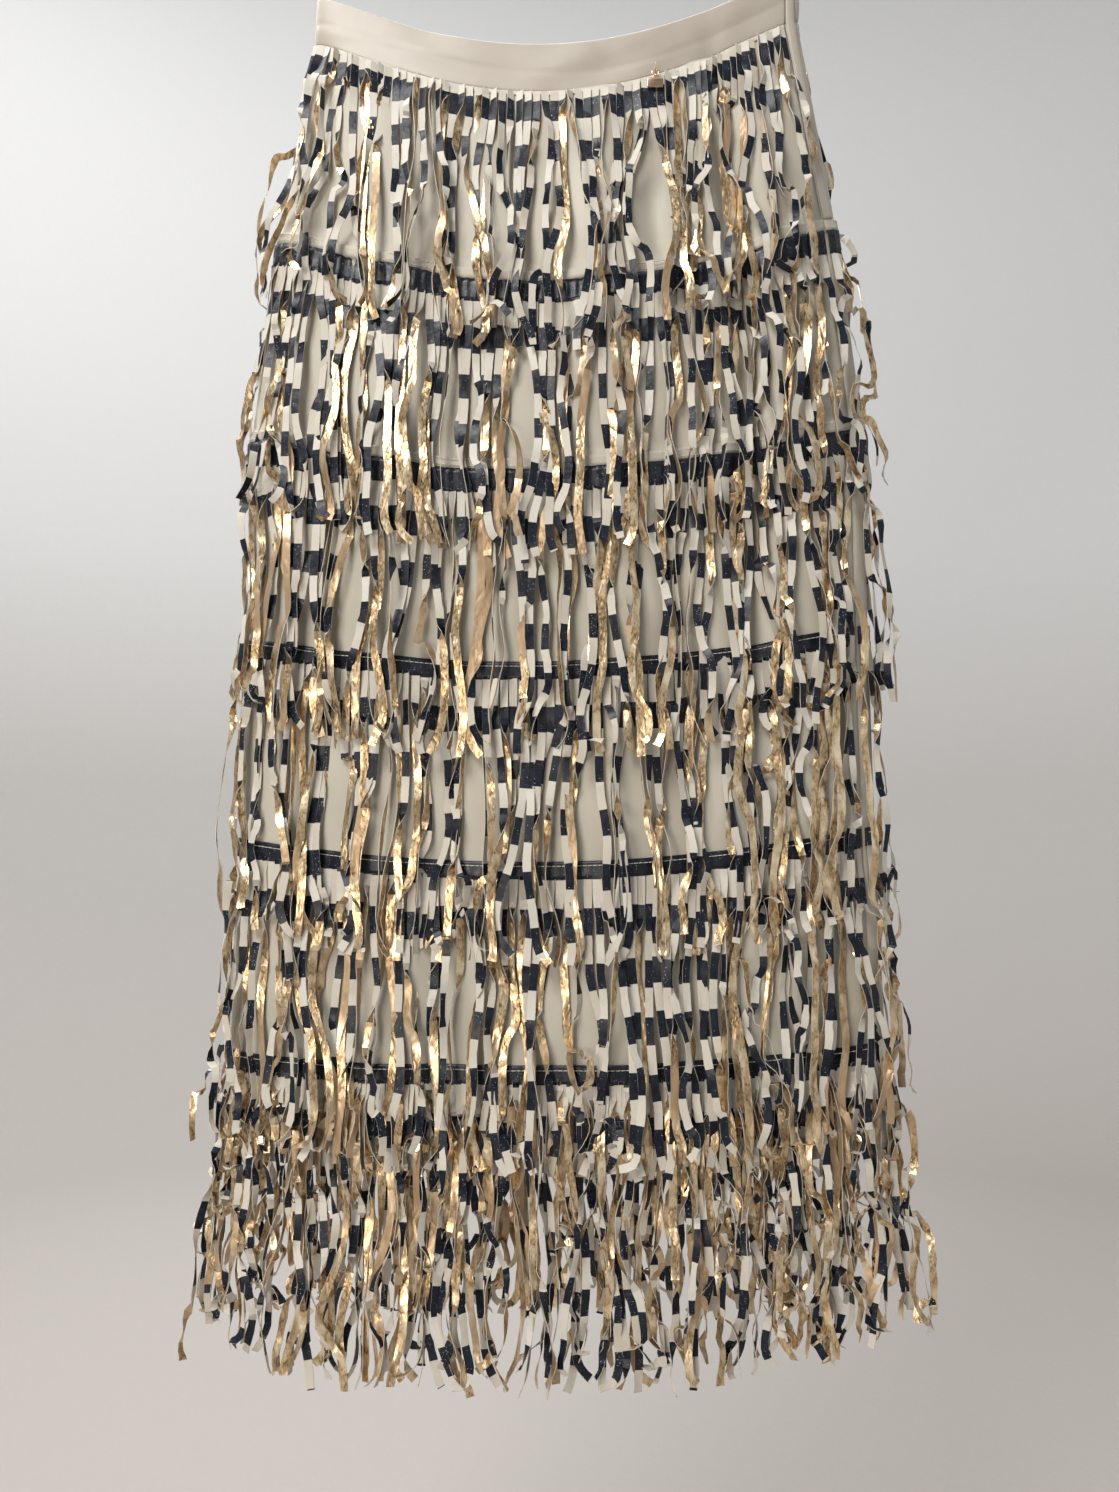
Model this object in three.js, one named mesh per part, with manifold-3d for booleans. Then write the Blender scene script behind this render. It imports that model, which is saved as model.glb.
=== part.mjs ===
// A long fringe skirt, hanging flat by two ribbon loops.
// Millimetres, +Z up, the front faces -Y and +X is on the viewer's right.
// The origin is midway between the tops of the two loops, where the skirt is held up.

import * as THREE from 'three';
import { mergeVertices } from 'three/addons/utils/BufferGeometryUtils.js';
import Module from 'manifold-3d';

const wasm = await Module();
wasm.setup();

// ---------------------------------------------------------------- cloth sizes

const WAIST_DROP = 62; // from the loop tops to the waist, at the side seams
const BAND_HEIGHT = 35;
const BAND_WALL = 2;
const BAND_PROUD = 0.6; // the band stands this far off the skirt's face
const BAND_BOW = 0.8; // a soft crown half way down the band
const CLOTH_WALL = 1.4;
const SEAM_GAP = 0.3;
const DIP_POWER = 2.2; // how roundly the waist line dips between the seams
const BACK_DIP_SHARE = 0.85; // the back waist dips a little less than the front
const LEFT_SEAM = Math.PI;
const RIGHT_POLE = 0;
const RIGHT_SEAM = 0.34; // radians: this seam is turned a little to the front

// One row for each level. down is measured along the side from the waist; the
// middle hangs lower by dip, and the right side is higher than the left by tilt
// each way. half is half the width, front and back are the depths.
const SECTIONS = [
  { down: 0, dip: 53, half: 170, front: 16, back: 14, tilt: 9 },
  { down: 35, dip: 54, half: 170, front: 18, back: 16, tilt: 9 },
  { down: 186, dip: 46, half: 195, front: 32, back: 26, tilt: 5 },
  { down: 328, dip: 34, half: 211, front: 38, back: 30, tilt: 4.5 },
  { down: 464, dip: 25, half: 211, front: 41, back: 32, tilt: 5 },
  { down: 598, dip: 19, half: 213, front: 43, back: 34, tilt: 4 },
  { down: 737, dip: 6, half: 217, front: 45, back: 36, tilt: 3 },
  { down: 804, dip: 4, half: 220, front: 47, back: 38, tilt: 2 },
  { down: 950, dip: 0, half: 226, front: 50, back: 40, tilt: 0 },
];
const HEM_DOWN = 804;
const HIP_DOWN = 328; // the level whose girth spaces the fringe

// Soft folds: at is the place across, as a share of the half width; rise is how
// far the fold stands out (a valley is below zero); spread is its width as such
// a share; from and to are the lengths down between which it shows.
const FRONT_FOLDS = [
  { at: -0.86, rise: 4, spread: 0.09, from: 120, to: 720 },
  { at: -0.7, rise: -4, spread: 0.07, from: 120, to: 640 },
  { at: -0.54, rise: 6, spread: 0.1, from: 90, to: 760 },
  { at: -0.33, rise: -4, spread: 0.1, from: 200, to: 860 },
  { at: 0.19, rise: 5, spread: 0.13, from: 120, to: 860 },
  { at: 0.62, rise: -13, spread: 0.055, from: 70, to: 540 },
  { at: 0.8, rise: 7, spread: 0.09, from: 90, to: 600 },
];
const BACK_FOLDS = [
  { at: -0.78, rise: 5, spread: 0.1, from: 120, to: 700 },
  { at: -0.55, rise: -5, spread: 0.07, from: 90, to: 560 },
  { at: -0.1, rise: 5, spread: 0.12, from: 140, to: 860 },
  { at: 0.3, rise: -4, spread: 0.1, from: 200, to: 860 },
  { at: 0.66, rise: 5, spread: 0.1, from: 100, to: 700 },
];
const FOLD_FADE = 90; // length over which a fold comes and goes

// ---------------------------------------------------------------- fringe sizes

// down is where a tier's header strip starts, along the side.
const TIERS = [
  { down: 36, header: 10 },
  { down: 186, header: 17 },
  { down: 328, header: 17 },
  { down: 464, header: 12 },
  { down: 598, header: 12 },
  { down: 737, header: 12 },
];
const LOCKS = 18; // locks of fringe on each tier, front and back
const LOCK_SHARE = 0.68; // of the pitch that a lock's width takes
const FRINGE_LENGTH = 198; // with its header
const LOCK_LEVELS = [0.36, 0.7, 1]; // shares of the free length, one for each ring of a lock
const STRIP_GAP = 0.35; // between a header strip and the cloth it is sewn on
const STRIP_WALL = 1.2;
const LOCK_WALL = 1.9;
const LOCK_LEAN = 0.035; // a lock comes away from the cloth this much for each unit of length
const LOCK_TAPER = 0.18; // share of its width that a lock loses by its tip
const LOCK_SWAY = 3; // sideways, at the tip
const LOCK_LIFT = 1.6; // off the cloth, at the tip
const TIP_UNEVEN = 8;
const SIDE_FLICK = 8; // how far the outermost locks stand out at their tips
const FLICKED_LOCKS = 1;
const SWAY_STEP = 2.4; // phase from one lock to the next
const TIER_STEP = 1.7; // phase from one tier to the next
const EDGE_SHARE = (1 - LOCK_SHARE) / (2 * LOCKS);

// ---------------------------------------------------------------- trim sizes

const PLACKET = { width: 8, wall: 1, gap: 0.3, top: 2, bottom: 178, rows: 6 };
const LOOP = { tape: 3, thick: 1.4, opening: 7, tail: 9, lean: 0.33, clear: 1, pole: 1.9, steps: 12 };
const THREAD = { radius: 2.7, wire: 0.4, down: 32, side: 67 };
const RING = { radius: 2.3, wire: 0.4 };
const PLATE = { width: 11, height: 6.5, thick: 1, corner: 1, bevel: 0.15 };
const EYE = { radius: 1.4, wire: 0.45, sunk: 0.3 };
const LINK_GAP = 0.15;
const TORUS_SIDES = 8;
const TORUS_STEPS = 24;
const ARC_STEPS = 400;
const CORNER_STEPS = 4;
const MERGE_DISTANCE = 1e-4;

// ---------------------------------------------------------------- finishes

const finish = (color, roughness, metalness = 0) =>
  new THREE.MeshStandardMaterial({ color, roughness, metalness });
const FINISHES = {
  band: () => finish(0xd9d0c2, 0.45),
  cloth: () => finish(0xded8cc, 0.6),
  fringe: () => finish(0x2b3850, 0.45),
  ribbon: () => finish(0xf2ede2, 0.4),
  gold: () => finish(0xe2b98a, 0.25, 1),
};

// ---------------------------------------------------------------- the skirt's form

const mix = (from, to, share) => from + (to - from) * share;

function smoothStep(from, to, value) {
  const share = Math.min(1, Math.max(0, (value - from) / (to - from)));
  return share * share * (3 - 2 * share);
}

// The row of SECTIONS at any length down, mixed from its neighbours.
function sectionAt(down) {
  const last = SECTIONS.length - 2;
  const index = SECTIONS.findIndex((row, place) => place > 0 && down <= row.down) - 1;
  const upper = SECTIONS[index < 0 ? last : index];
  const lower = SECTIONS[SECTIONS.indexOf(upper) + 1];
  const share = (down - upper.down) / (lower.down - upper.down);
  const names = Object.keys(upper);
  return Object.fromEntries(names.map((name) => [name, mix(upper[name], lower[name], share)]));
}

function foldAt(folds, across, down) {
  let rise = 0;
  for (const fold of folds) {
    const bell = Math.exp(-(((across - fold.at) / fold.spread) ** 2));
    const comes = smoothStep(fold.from - FOLD_FADE, fold.from + FOLD_FADE, down);
    const goes = smoothStep(fold.to - FOLD_FADE, fold.to + FOLD_FADE, down);
    rise += fold.rise * bell * comes * (1 - goes);
  }
  return rise;
}

// A point on the skirt: angle goes round from the right (0) past the front to
// the left seam (pi), and below zero round the back; out is off the face.
function skirtPoint(angle, down, out = 0) {
  const section = sectionAt(down);
  const isFront = Math.sin(angle) >= 0;
  const depth = isFront ? section.front : section.back;
  const across = Math.cos(angle);
  const facing = Math.sin(angle);
  const normal = new THREE.Vector2(across / section.half, -facing / depth).normalize();
  const fold = foldAt(isFront ? FRONT_FOLDS : BACK_FOLDS, across, down) * Math.abs(facing);
  const dipShare = Math.abs(facing) ** DIP_POWER * (isFront ? 1 : BACK_DIP_SHARE);
  const away = out + fold;
  return new THREE.Vector3(
    section.half * across + normal.x * away,
    -depth * facing + normal.y * away,
    section.tilt * across - WAIST_DROP - down - section.dip * dipShare,
  );
}

// The angles at even steps of girth between two angles, found along the hip line.
function girthScale(from, to) {
  const angles = [];
  const lengths = [0];
  for (let step = 0; step <= ARC_STEPS; step += 1) {
    angles.push(mix(from, to, step / ARC_STEPS));
    if (step > 0) {
      const before = skirtPoint(angles[step - 1], HIP_DOWN);
      const here = skirtPoint(angles[step], HIP_DOWN);
      lengths.push(lengths[step - 1] + Math.hypot(here.x - before.x, here.y - before.y));
    }
  }
  const girth = lengths[ARC_STEPS];
  const angleAt = (share) => {
    const wanted = Math.min(share, 1) * girth;
    const place = Math.max(1, lengths.findIndex((length) => length >= wanted));
    const between = (wanted - lengths[place - 1]) / (lengths[place] - lengths[place - 1]);
    return mix(angles[place - 1], angles[place], between);
  };
  return { girth, angleAt };
}

// The angles of a panel's columns: two for each lock, its left and right edge.
function lockAngles(from, to) {
  const scale = girthScale(from, to);
  const angles = [];
  for (let lock = 0; lock < LOCKS; lock += 1) {
    angles.push(scale.angleAt(lock / LOCKS + EDGE_SHARE));
    angles.push(scale.angleAt((lock + 1) / LOCKS - EDGE_SHARE));
  }
  return angles;
}

// A panel's seams lie half a seam gap inside its own edges.
function makePanel(name, from, to, corners) {
  const edges = girthScale(from, to);
  const inset = SEAM_GAP / 2 / edges.girth;
  const locks = lockAngles(corners.at(-1) ?? from, to);
  const ends = [edges.angleAt(inset), edges.angleAt(1 - inset)];
  return { name, locks, columns: [ends[0], ...corners, ...locks, ends[1]] };
}

const PANELS = [
  makePanel('front', LEFT_SEAM, RIGHT_SEAM, []),
  makePanel('back', RIGHT_SEAM, -LEFT_SEAM, [RIGHT_POLE]),
];

// ---------------------------------------------------------------- solids from cells

// Six-sided cells of a grid that is two layers thick make one closed solid.
// Neighbours share their corners, and only faces with no neighbour are kept.
function cellSolid(columnCount, rowCount, hasCell, pointAt) {
  const corners = new Map();
  const positions = [];
  const triangles = [];
  const corner = (column, row, layer) => {
    const key = `${column},${row},${layer}`;
    if (!corners.has(key)) {
      corners.set(key, positions.length / 3);
      positions.push(...pointAt(column, row, layer).toArray());
    }
    return corners.get(key);
  };
  const quad = (a, b, c, d) => triangles.push(a, b, c, a, c, d);
  const filled = (column, row) => {
    const inside = column >= 0 && row >= 0 && column < columnCount && row < rowCount;
    return inside && hasCell(column, row);
  };
  for (let row = 0; row < rowCount; row += 1) {
    for (let column = 0; column < columnCount; column += 1) {
      if (!filled(column, row)) continue;
      const at = (right, lower, layer) => corner(column + right, row + lower, layer);
      quad(at(0, 0, 1), at(0, 1, 1), at(1, 1, 1), at(1, 0, 1));
      quad(at(0, 0, 0), at(1, 0, 0), at(1, 1, 0), at(0, 1, 0));
      if (!filled(column, row - 1)) quad(at(0, 0, 0), at(0, 0, 1), at(1, 0, 1), at(1, 0, 0));
      if (!filled(column, row + 1)) quad(at(0, 1, 0), at(1, 1, 0), at(1, 1, 1), at(0, 1, 1));
      if (!filled(column - 1, row)) quad(at(0, 0, 0), at(0, 1, 0), at(0, 1, 1), at(0, 0, 1));
      if (!filled(column + 1, row)) quad(at(1, 0, 0), at(1, 0, 1), at(1, 1, 1), at(1, 1, 0));
    }
  }
  return solidGeometry(positions, triangles);
}

// A closed geometry whose faces point outwards.
function solidGeometry(positions, triangles) {
  const geometry = new THREE.BufferGeometry();
  geometry.setAttribute('position', new THREE.Float32BufferAttribute(positions, 3));
  geometry.setIndex(signedVolume(positions, triangles) < 0 ? triangles.reverse() : triangles);
  geometry.computeVertexNormals();
  return geometry;
}

function signedVolume(positions, triangles) {
  const at = (index) => new THREE.Vector3().fromArray(positions, index * 3);
  let volume = 0;
  for (let first = 0; first < triangles.length; first += 3) {
    const [a, b, c] = triangles.slice(first, first + 3).map(at);
    volume += a.dot(b.cross(c));
  }
  return volume;
}

// A wall of cloth between two offsets from the skirt's face.
function clothWall(angles, levels, outAt) {
  return cellSolid(
    angles.length - 1,
    levels.length - 1,
    () => true,
    (column, row, layer) => skirtPoint(angles[column], levels[row], outAt(row, layer)),
  );
}

// ---------------------------------------------------------------- the pieces

function addPiece(group, name, geometry, material) {
  const mesh = new THREE.Mesh(geometry, material);
  mesh.name = name;
  group.add(mesh);
  return mesh;
}

function waistband(panel) {
  const levels = [0, BAND_HEIGHT / 2, BAND_HEIGHT];
  const bow = [0, BAND_BOW, 0];
  const outAt = (row, layer) => BAND_PROUD + bow[row] - (layer === 0 ? BAND_WALL : 0);
  return clothWall(panel.columns, levels, outAt);
}

// The cloth has a row at the top and foot of each header, so the strips lie true on it.
function skirtCloth(panel) {
  const levels = [BAND_HEIGHT + SEAM_GAP];
  for (const tier of TIERS) {
    levels.push(tier.down, tier.down + tier.header);
  }
  levels.push(HEM_DOWN);
  const outAt = (row, layer) => (layer === 0 ? -CLOTH_WALL : 0);
  return clothWall(panel.columns, levels, outAt);
}

// How a lock departs from straight down at a share of its free length. The
// phases run on from lock to lock, so that no two neighbours hang alike.
function lockBend(lock, tierIndex, share) {
  const phase = lock * SWAY_STEP + tierIndex * TIER_STEP;
  const flick = lock < FLICKED_LOCKS || lock >= LOCKS - FLICKED_LOCKS ? SIDE_FLICK : 0;
  return {
    sway: LOCK_SWAY * Math.sin(phase) * share * share,
    lift: (LOCK_LIFT * (1 + Math.cos(phase * 2)) / 2 + flick) * share * share,
    drop: TIP_UNEVEN * Math.sin(phase * 3) * share,
  };
}

// One tier on one panel: a header strip with its locks hanging from it.
function fringeTier(panel, tier, tierIndex) {
  const freeLength = FRINGE_LENGTH - tier.header;
  const shares = [0, 0, ...LOCK_LEVELS];
  const pointAt = (column, row, layer) => {
    const lock = Math.floor(column / 2);
    const share = shares[row];
    const bend = lockBend(lock, tierIndex, share);
    const free = freeLength * share + bend.drop;
    const down = tier.down + (row > 0 ? tier.header + free : 0);
    const wall = row < 2 ? STRIP_WALL : LOCK_WALL;
    const out = STRIP_GAP + LOCK_LEAN * free + bend.lift + (layer === 1 ? wall : 0);
    const middle = (panel.locks[lock * 2] + panel.locks[lock * 2 + 1]) / 2;
    const angle = mix(panel.locks[column], middle, LOCK_TAPER * share);
    const point = skirtPoint(angle, down, out);
    point.x += bend.sway;
    return point;
  };
  const isLock = (column, row) => row === 0 || column % 2 === 0;
  return cellSolid(LOCKS * 2 - 1, shares.length - 1, isLock, pointAt);
}

// The covered edge of the concealed zip, lying along the right side seam.
function sidePlacket() {
  const scale = girthScale(RIGHT_SEAM, RIGHT_POLE);
  const angles = [RIGHT_SEAM, scale.angleAt(PLACKET.width / scale.girth)];
  const levels = [];
  for (let row = 0; row <= PLACKET.rows; row += 1) {
    levels.push(mix(PLACKET.top, PLACKET.bottom, row / PLACKET.rows));
  }
  const base = BAND_PROUD + BAND_BOW + PLACKET.gap;
  return clothWall(angles, levels, (row, layer) => base + layer * PLACKET.wall);
}

// The height across a tape loop's outline: straight runs that part towards a round top.
function loopOutline(top, foot, inset) {
  const radius = LOOP.opening / 2 + LOOP.tape - inset;
  const footHalf = LOOP.tape - inset + SEAM_GAP;
  const centre = top - LOOP.opening / 2 - LOOP.tape;
  const points = [];
  for (let step = 0; step <= LOOP.steps; step += 1) {
    const turn = (Math.PI * step) / LOOP.steps;
    points.push(new THREE.Vector2(radius * Math.cos(turn), centre + radius * Math.sin(turn)));
  }
  points.push(new THREE.Vector2(-footHalf, foot + LOOP.tail + inset));
  points.push(new THREE.Vector2(-footHalf, foot + inset));
  points.push(new THREE.Vector2(footHalf, foot + inset));
  points.push(new THREE.Vector2(footHalf, foot + LOOP.tail + inset));
  return points;
}

// A hanging loop: its tail is sewn inside the band and its runs lean outwards.
function hangingLoop(side) {
  const corner = skirtPoint(side > 0 ? RIGHT_POLE : LEFT_SEAM, 0, BAND_PROUD - BAND_WALL);
  const foot = corner.z - LOOP.tail;
  const outline = new THREE.Shape(loopOutline(0, foot, 0));
  outline.holes.push(new THREE.Path(loopOutline(0, foot, LOOP.tape)));
  const geometry = new THREE.ExtrudeGeometry(outline, { depth: LOOP.thick, bevelEnabled: false });
  geometry.rotateX(Math.PI / 2);
  const tailCentre = Math.abs(corner.x) - LOOP.pole - LOOP.tape - SEAM_GAP;
  geometry.translate(side * tailCentre, LOOP.thick / 2, 0);
  const position = geometry.getAttribute('position');
  for (let index = 0; index < position.count; index += 1) {
    const rise = Math.max(0, position.getZ(index) - corner.z - LOOP.clear);
    position.setX(index, position.getX(index) + side * LOOP.lean * rise);
  }
  return geometry;
}

// ---------------------------------------------------------------- the charm

function torus(radius, wire) {
  return new THREE.TorusGeometry(radius, wire, TORUS_SIDES, TORUS_STEPS);
}

// A ring that lies in the plane across the skirt, seen face on from the front.
function faceOnRing(radius, wire, place) {
  return torus(radius, wire).rotateX(Math.PI / 2).translate(place.x, place.y, place.z);
}

// A ring that stands at right angles to the skirt, seen edge on from the front.
function edgeOnRing(radius, wire, place) {
  return torus(radius, wire).rotateY(Math.PI / 2).translate(place.x, place.y, place.z);
}

function toManifold(geometry) {
  const bare = geometry.clone();
  bare.deleteAttribute('normal');
  bare.deleteAttribute('uv');
  const merged = mergeVertices(bare, MERGE_DISTANCE);
  const vertProperties = new Float32Array(merged.getAttribute('position').array);
  const triVerts = new Uint32Array(merged.getIndex().array);
  return new wasm.Manifold(new wasm.Mesh({ numProp: 3, vertProperties, triVerts }));
}

function joined(first, second) {
  const mesh = toManifold(first).add(toManifold(second)).getMesh();
  return solidGeometry(Array.from(mesh.vertProperties), Array.from(mesh.triVerts));
}

function plateShape() {
  const half = { x: PLATE.width / 2, y: PLATE.height / 2 };
  const corner = PLATE.corner;
  const shape = new THREE.Shape();
  shape.moveTo(-half.x + corner, -half.y);
  shape.absarc(half.x - corner, -half.y + corner, corner, -Math.PI / 2, 0);
  shape.absarc(half.x - corner, half.y - corner, corner, 0, Math.PI / 2);
  shape.absarc(-half.x + corner, half.y - corner, corner, Math.PI / 2, Math.PI);
  shape.absarc(-half.x + corner, -half.y + corner, corner, Math.PI, Math.PI * 1.5);
  return shape;
}

// Where the thread, ring, eye and plate hang, one on the other.
function charmPlaces() {
  const angle = Math.acos(THREAD.side / sectionAt(THREAD.down).half);
  const bow = BAND_BOW * (BAND_HEIGHT - THREAD.down) / (BAND_HEIGHT / 2);
  const reach = BAND_PROUD + bow + SEAM_GAP + THREAD.radius + THREAD.wire;
  const thread = skirtPoint(angle, THREAD.down, reach);
  const pivot = thread.clone();
  pivot.z -= THREAD.radius - THREAD.wire - RING.wire - LINK_GAP;
  const ring = pivot.clone();
  ring.z -= RING.radius;
  const eye = ring.clone();
  eye.z -= RING.radius - RING.wire - EYE.wire - LINK_GAP + EYE.radius;
  const plate = eye.clone();
  plate.z -= EYE.radius + EYE.wire - EYE.sunk + PLATE.height / 2;
  return { thread, pivot, ring, eye, plate };
}

function charmPlate(places) {
  const flat = PLATE.thick - 2 * PLATE.bevel;
  const options = {
    depth: flat,
    bevelThickness: PLATE.bevel,
    bevelSize: PLATE.bevel,
    bevelOffset: -PLATE.bevel,
    bevelSegments: 1,
    curveSegments: CORNER_STEPS,
  };
  const plate = new THREE.ExtrudeGeometry(plateShape(), options);
  plate.translate(0, 0, -flat / 2).rotateX(Math.PI / 2);
  plate.translate(places.plate.x, places.plate.y, places.plate.z);
  return joined(plate, edgeOnRing(EYE.radius, EYE.wire, places.eye));
}

// ---------------------------------------------------------------- the whole skirt

const skirt = new THREE.Group();
for (const panel of PANELS) {
  addPiece(skirt, `waistband_${panel.name}`, waistband(panel), FINISHES.band());
  addPiece(skirt, `skirt_${panel.name}`, skirtCloth(panel), FINISHES.cloth());
  TIERS.forEach((tier, index) => {
    const name = `tier_${index + 1}_${panel.name}`;
    addPiece(skirt, name, fringeTier(panel, tier, index), FINISHES.fringe());
  });
}
addPiece(skirt, 'side_placket', sidePlacket(), FINISHES.cloth());
addPiece(skirt, 'loop_left', hangingLoop(-1), FINISHES.ribbon());
addPiece(skirt, 'loop_right', hangingLoop(1), FINISHES.ribbon());

const charm = charmPlaces();
const threadRing = edgeOnRing(THREAD.radius, THREAD.wire, charm.thread);
addPiece(skirt, 'charm_thread', threadRing, FINISHES.ribbon());
addPiece(skirt, 'charm_ring', faceOnRing(RING.radius, RING.wire, charm.ring), FINISHES.gold());
addPiece(skirt, 'charm_plate', charmPlate(charm), FINISHES.gold());

export default skirt;
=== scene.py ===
"""A long fringe skirt that hangs by two tape loops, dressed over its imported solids."""
import logging
import math
from dataclasses import dataclass, field
from enum import Enum
from typing import Any

import bmesh
import bpy
import numpy as np
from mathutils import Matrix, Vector


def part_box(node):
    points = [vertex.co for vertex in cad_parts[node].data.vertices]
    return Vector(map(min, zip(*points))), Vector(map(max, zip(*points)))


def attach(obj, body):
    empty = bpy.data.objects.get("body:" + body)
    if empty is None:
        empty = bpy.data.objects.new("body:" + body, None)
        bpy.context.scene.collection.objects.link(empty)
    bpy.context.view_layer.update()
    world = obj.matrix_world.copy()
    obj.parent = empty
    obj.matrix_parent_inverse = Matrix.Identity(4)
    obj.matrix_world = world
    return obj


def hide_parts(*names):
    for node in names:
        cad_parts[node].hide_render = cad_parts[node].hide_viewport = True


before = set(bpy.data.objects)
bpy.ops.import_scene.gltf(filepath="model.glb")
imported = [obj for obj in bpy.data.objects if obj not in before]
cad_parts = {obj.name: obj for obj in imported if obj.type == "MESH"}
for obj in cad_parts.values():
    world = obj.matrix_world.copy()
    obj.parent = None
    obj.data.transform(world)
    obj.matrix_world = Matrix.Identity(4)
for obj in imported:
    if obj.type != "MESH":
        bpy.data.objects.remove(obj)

LOG = logging.getLogger("fringe_skirt")
MM = 0.001
SKIRT_BODY = "skirt"
CHARM_BODY = "charm"
Array = np.ndarray
Random = np.random.Generator
Shape = bmesh.types.BMesh
Mesh = bpy.types.Mesh
Piece = bpy.types.Object
Finish = bpy.types.Material


# ------------------------------------------------------------------ the skirt's form


@dataclass(frozen=True)
class Section:
    """One level of the skirt, in millimetres.

    down is measured along the side from the waist, dip is how much lower the middle hangs,
    half is half the width, front and back are depths, and tilt is how much higher the right side is.
    """

    down: float
    dip: float
    half: float
    front: float
    back: float
    tilt: float


@dataclass(frozen=True)
class Fold:
    """A long soft fold: its place and spread across are shares of the half width, the rest millimetres."""

    across: float
    rise: float
    spread: float
    start: float
    end: float


@dataclass(frozen=True)
class Crease:
    """A short crease in the cloth: centre, length, width and depth in millimetres, slant in radians."""

    across: float
    down: float
    length: float
    width: float
    rise: float
    slant: float


class Side(Enum):
    """The two panels of the skirt."""

    FRONT = "front"
    BACK = "back"


class Surface(Enum):
    """The surfaces of a cut strand, in the order of its material slots."""

    FACE = 0
    BACK = 1
    EDGE = 2


def smooth(low: float, high: float, value: Array) -> Array:
    """A soft step of a value, from 0 at low to 1 at high."""
    share = np.clip((np.asarray(value, float) - low) / (high - low), 0.0, 1.0)
    return share * share * (3.0 - 2.0 * share)


@dataclass
class SkirtForm:
    """The hanging skirt's shape, the same as its solids': a flattened tube with a dipping waist."""

    waist_drop: float = 62.0
    dip_power: float = 2.2
    back_dip_share: float = 0.85
    fold_fade: float = 90.0
    right_seam: float = 0.34
    hip_down: float = 328.0
    arc_steps: int = 720
    sections: tuple[Section, ...] = (
        Section(0, 53, 170, 16, 14, 9),
        Section(35, 54, 170, 18, 16, 9),
        Section(186, 46, 195, 32, 26, 5),
        Section(328, 34, 211, 38, 30, 4.5),
        Section(464, 25, 211, 41, 32, 5),
        Section(598, 19, 213, 43, 34, 4),
        Section(737, 6, 217, 45, 36, 3),
        Section(804, 4, 220, 47, 38, 2),
        Section(950, 0, 226, 50, 40, 0),
    )
    front_folds: tuple[Fold, ...] = (
        Fold(-0.86, 4, 0.09, 120, 720),
        Fold(-0.7, -4, 0.07, 120, 640),
        Fold(-0.54, 6, 0.1, 90, 760),
        Fold(-0.33, -4, 0.1, 200, 860),
        Fold(0.19, 5, 0.13, 120, 860),
        Fold(0.62, -13, 0.055, 70, 540),
        Fold(0.8, 7, 0.09, 90, 600),
    )
    back_folds: tuple[Fold, ...] = (
        Fold(-0.78, 5, 0.1, 120, 700),
        Fold(-0.55, -5, 0.07, 90, 560),
        Fold(-0.1, 5, 0.12, 140, 860),
        Fold(0.3, -4, 0.1, 200, 860),
        Fold(0.66, 5, 0.1, 100, 700),
    )

    def column(self, name: str, down: Array) -> Array:
        """One of the Section's sizes, by name, at each length down."""
        levels = [section.down for section in self.sections]
        return np.interp(down, levels, [getattr(section, name) for section in self.sections])

    def fold(self, folds: tuple[Fold, ...], across: Array, down: Array) -> Array:
        """How far the soft folds stand out.

        Args:
            folds: The folds of one panel.
            across: Places across, as shares of the half width.
            down: Lengths down, in millimetres.

        Returns:
            The rise, in millimetres.
        """
        rise = np.zeros(np.broadcast(across, down).shape)
        for one in folds:
            bell = np.exp(-(((across - one.across) / one.spread) ** 2))
            comes = smooth(one.start - self.fold_fade, one.start + self.fold_fade, down)
            goes = smooth(one.end - self.fold_fade, one.end + self.fold_fade, down)
            rise += one.rise * bell * comes * (1.0 - goes)
        return rise

    def normal(self, angle: Array, down: Array) -> tuple[Array, Array]:
        """The outward direction, seen from above.

        Args:
            angle: Angles round the skirt, from the right over the front to the left.
            down: Lengths down, in millimetres.

        Returns:
            Its x and y.
        """
        depth = self.depth(angle, down)
        x = np.cos(angle) / self.column("half", down)
        y = -np.sin(angle) / depth
        size = np.hypot(x, y)
        return x / size, y / size

    def depth(self, angle: Array, down: Array) -> Array:
        """The half depth on the side that each angle is on."""
        return np.where(np.sin(angle) >= 0, self.column("front", down), self.column("back", down))

    def point(self, angle: Array, down: Array, out: Array) -> Array:
        """Points on or off the skirt's face.

        Args:
            angle: Angles round the skirt.
            down: Lengths down the side, in millimetres.
            out: Distances off the face, in millimetres.

        Returns:
            The points, in millimetres, with a last axis of three.
        """
        across, facing = np.cos(angle), np.sin(angle)
        is_front = facing >= 0
        front = self.fold(self.front_folds, across, down)
        back = self.fold(self.back_folds, across, down)
        away = out + np.where(is_front, front, back) * np.abs(facing)
        normal_x, normal_y = self.normal(angle, down)
        dip_share = np.abs(facing) ** self.dip_power * np.where(is_front, 1.0, self.back_dip_share)
        height = self.column("tilt", down) * across - self.waist_drop - down
        return np.stack(
            [
                self.column("half", down) * across + normal_x * away,
                -self.depth(angle, down) * facing + normal_y * away,
                height - self.column("dip", down) * dip_share + 0.0 * away,
            ],
            axis=-1,
        )

    def along(self, angle: Array, down: Array) -> tuple[Array, Array, Array]:
        """The level direction along the girth, towards growing angles.

        Args:
            angle: Angles round the skirt.
            down: Lengths down, in millimetres.

        Returns:
            Its x and y, and the millimetres of girth for each radian.
        """
        x = -self.column("half", down) * np.sin(angle)
        y = -self.depth(angle, down) * np.cos(angle)
        size = np.hypot(x, y)
        return x / size, y / size, size

    def ends(self, side: Side) -> tuple[float, float]:
        """The angles of a panel's two seams, in the order that its shares run.

        Args:
            side: The panel.

        Returns:
            Both angles, in radians.
        """
        if side is Side.FRONT:
            return math.pi, self.right_seam
        return self.right_seam, -math.pi

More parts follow.
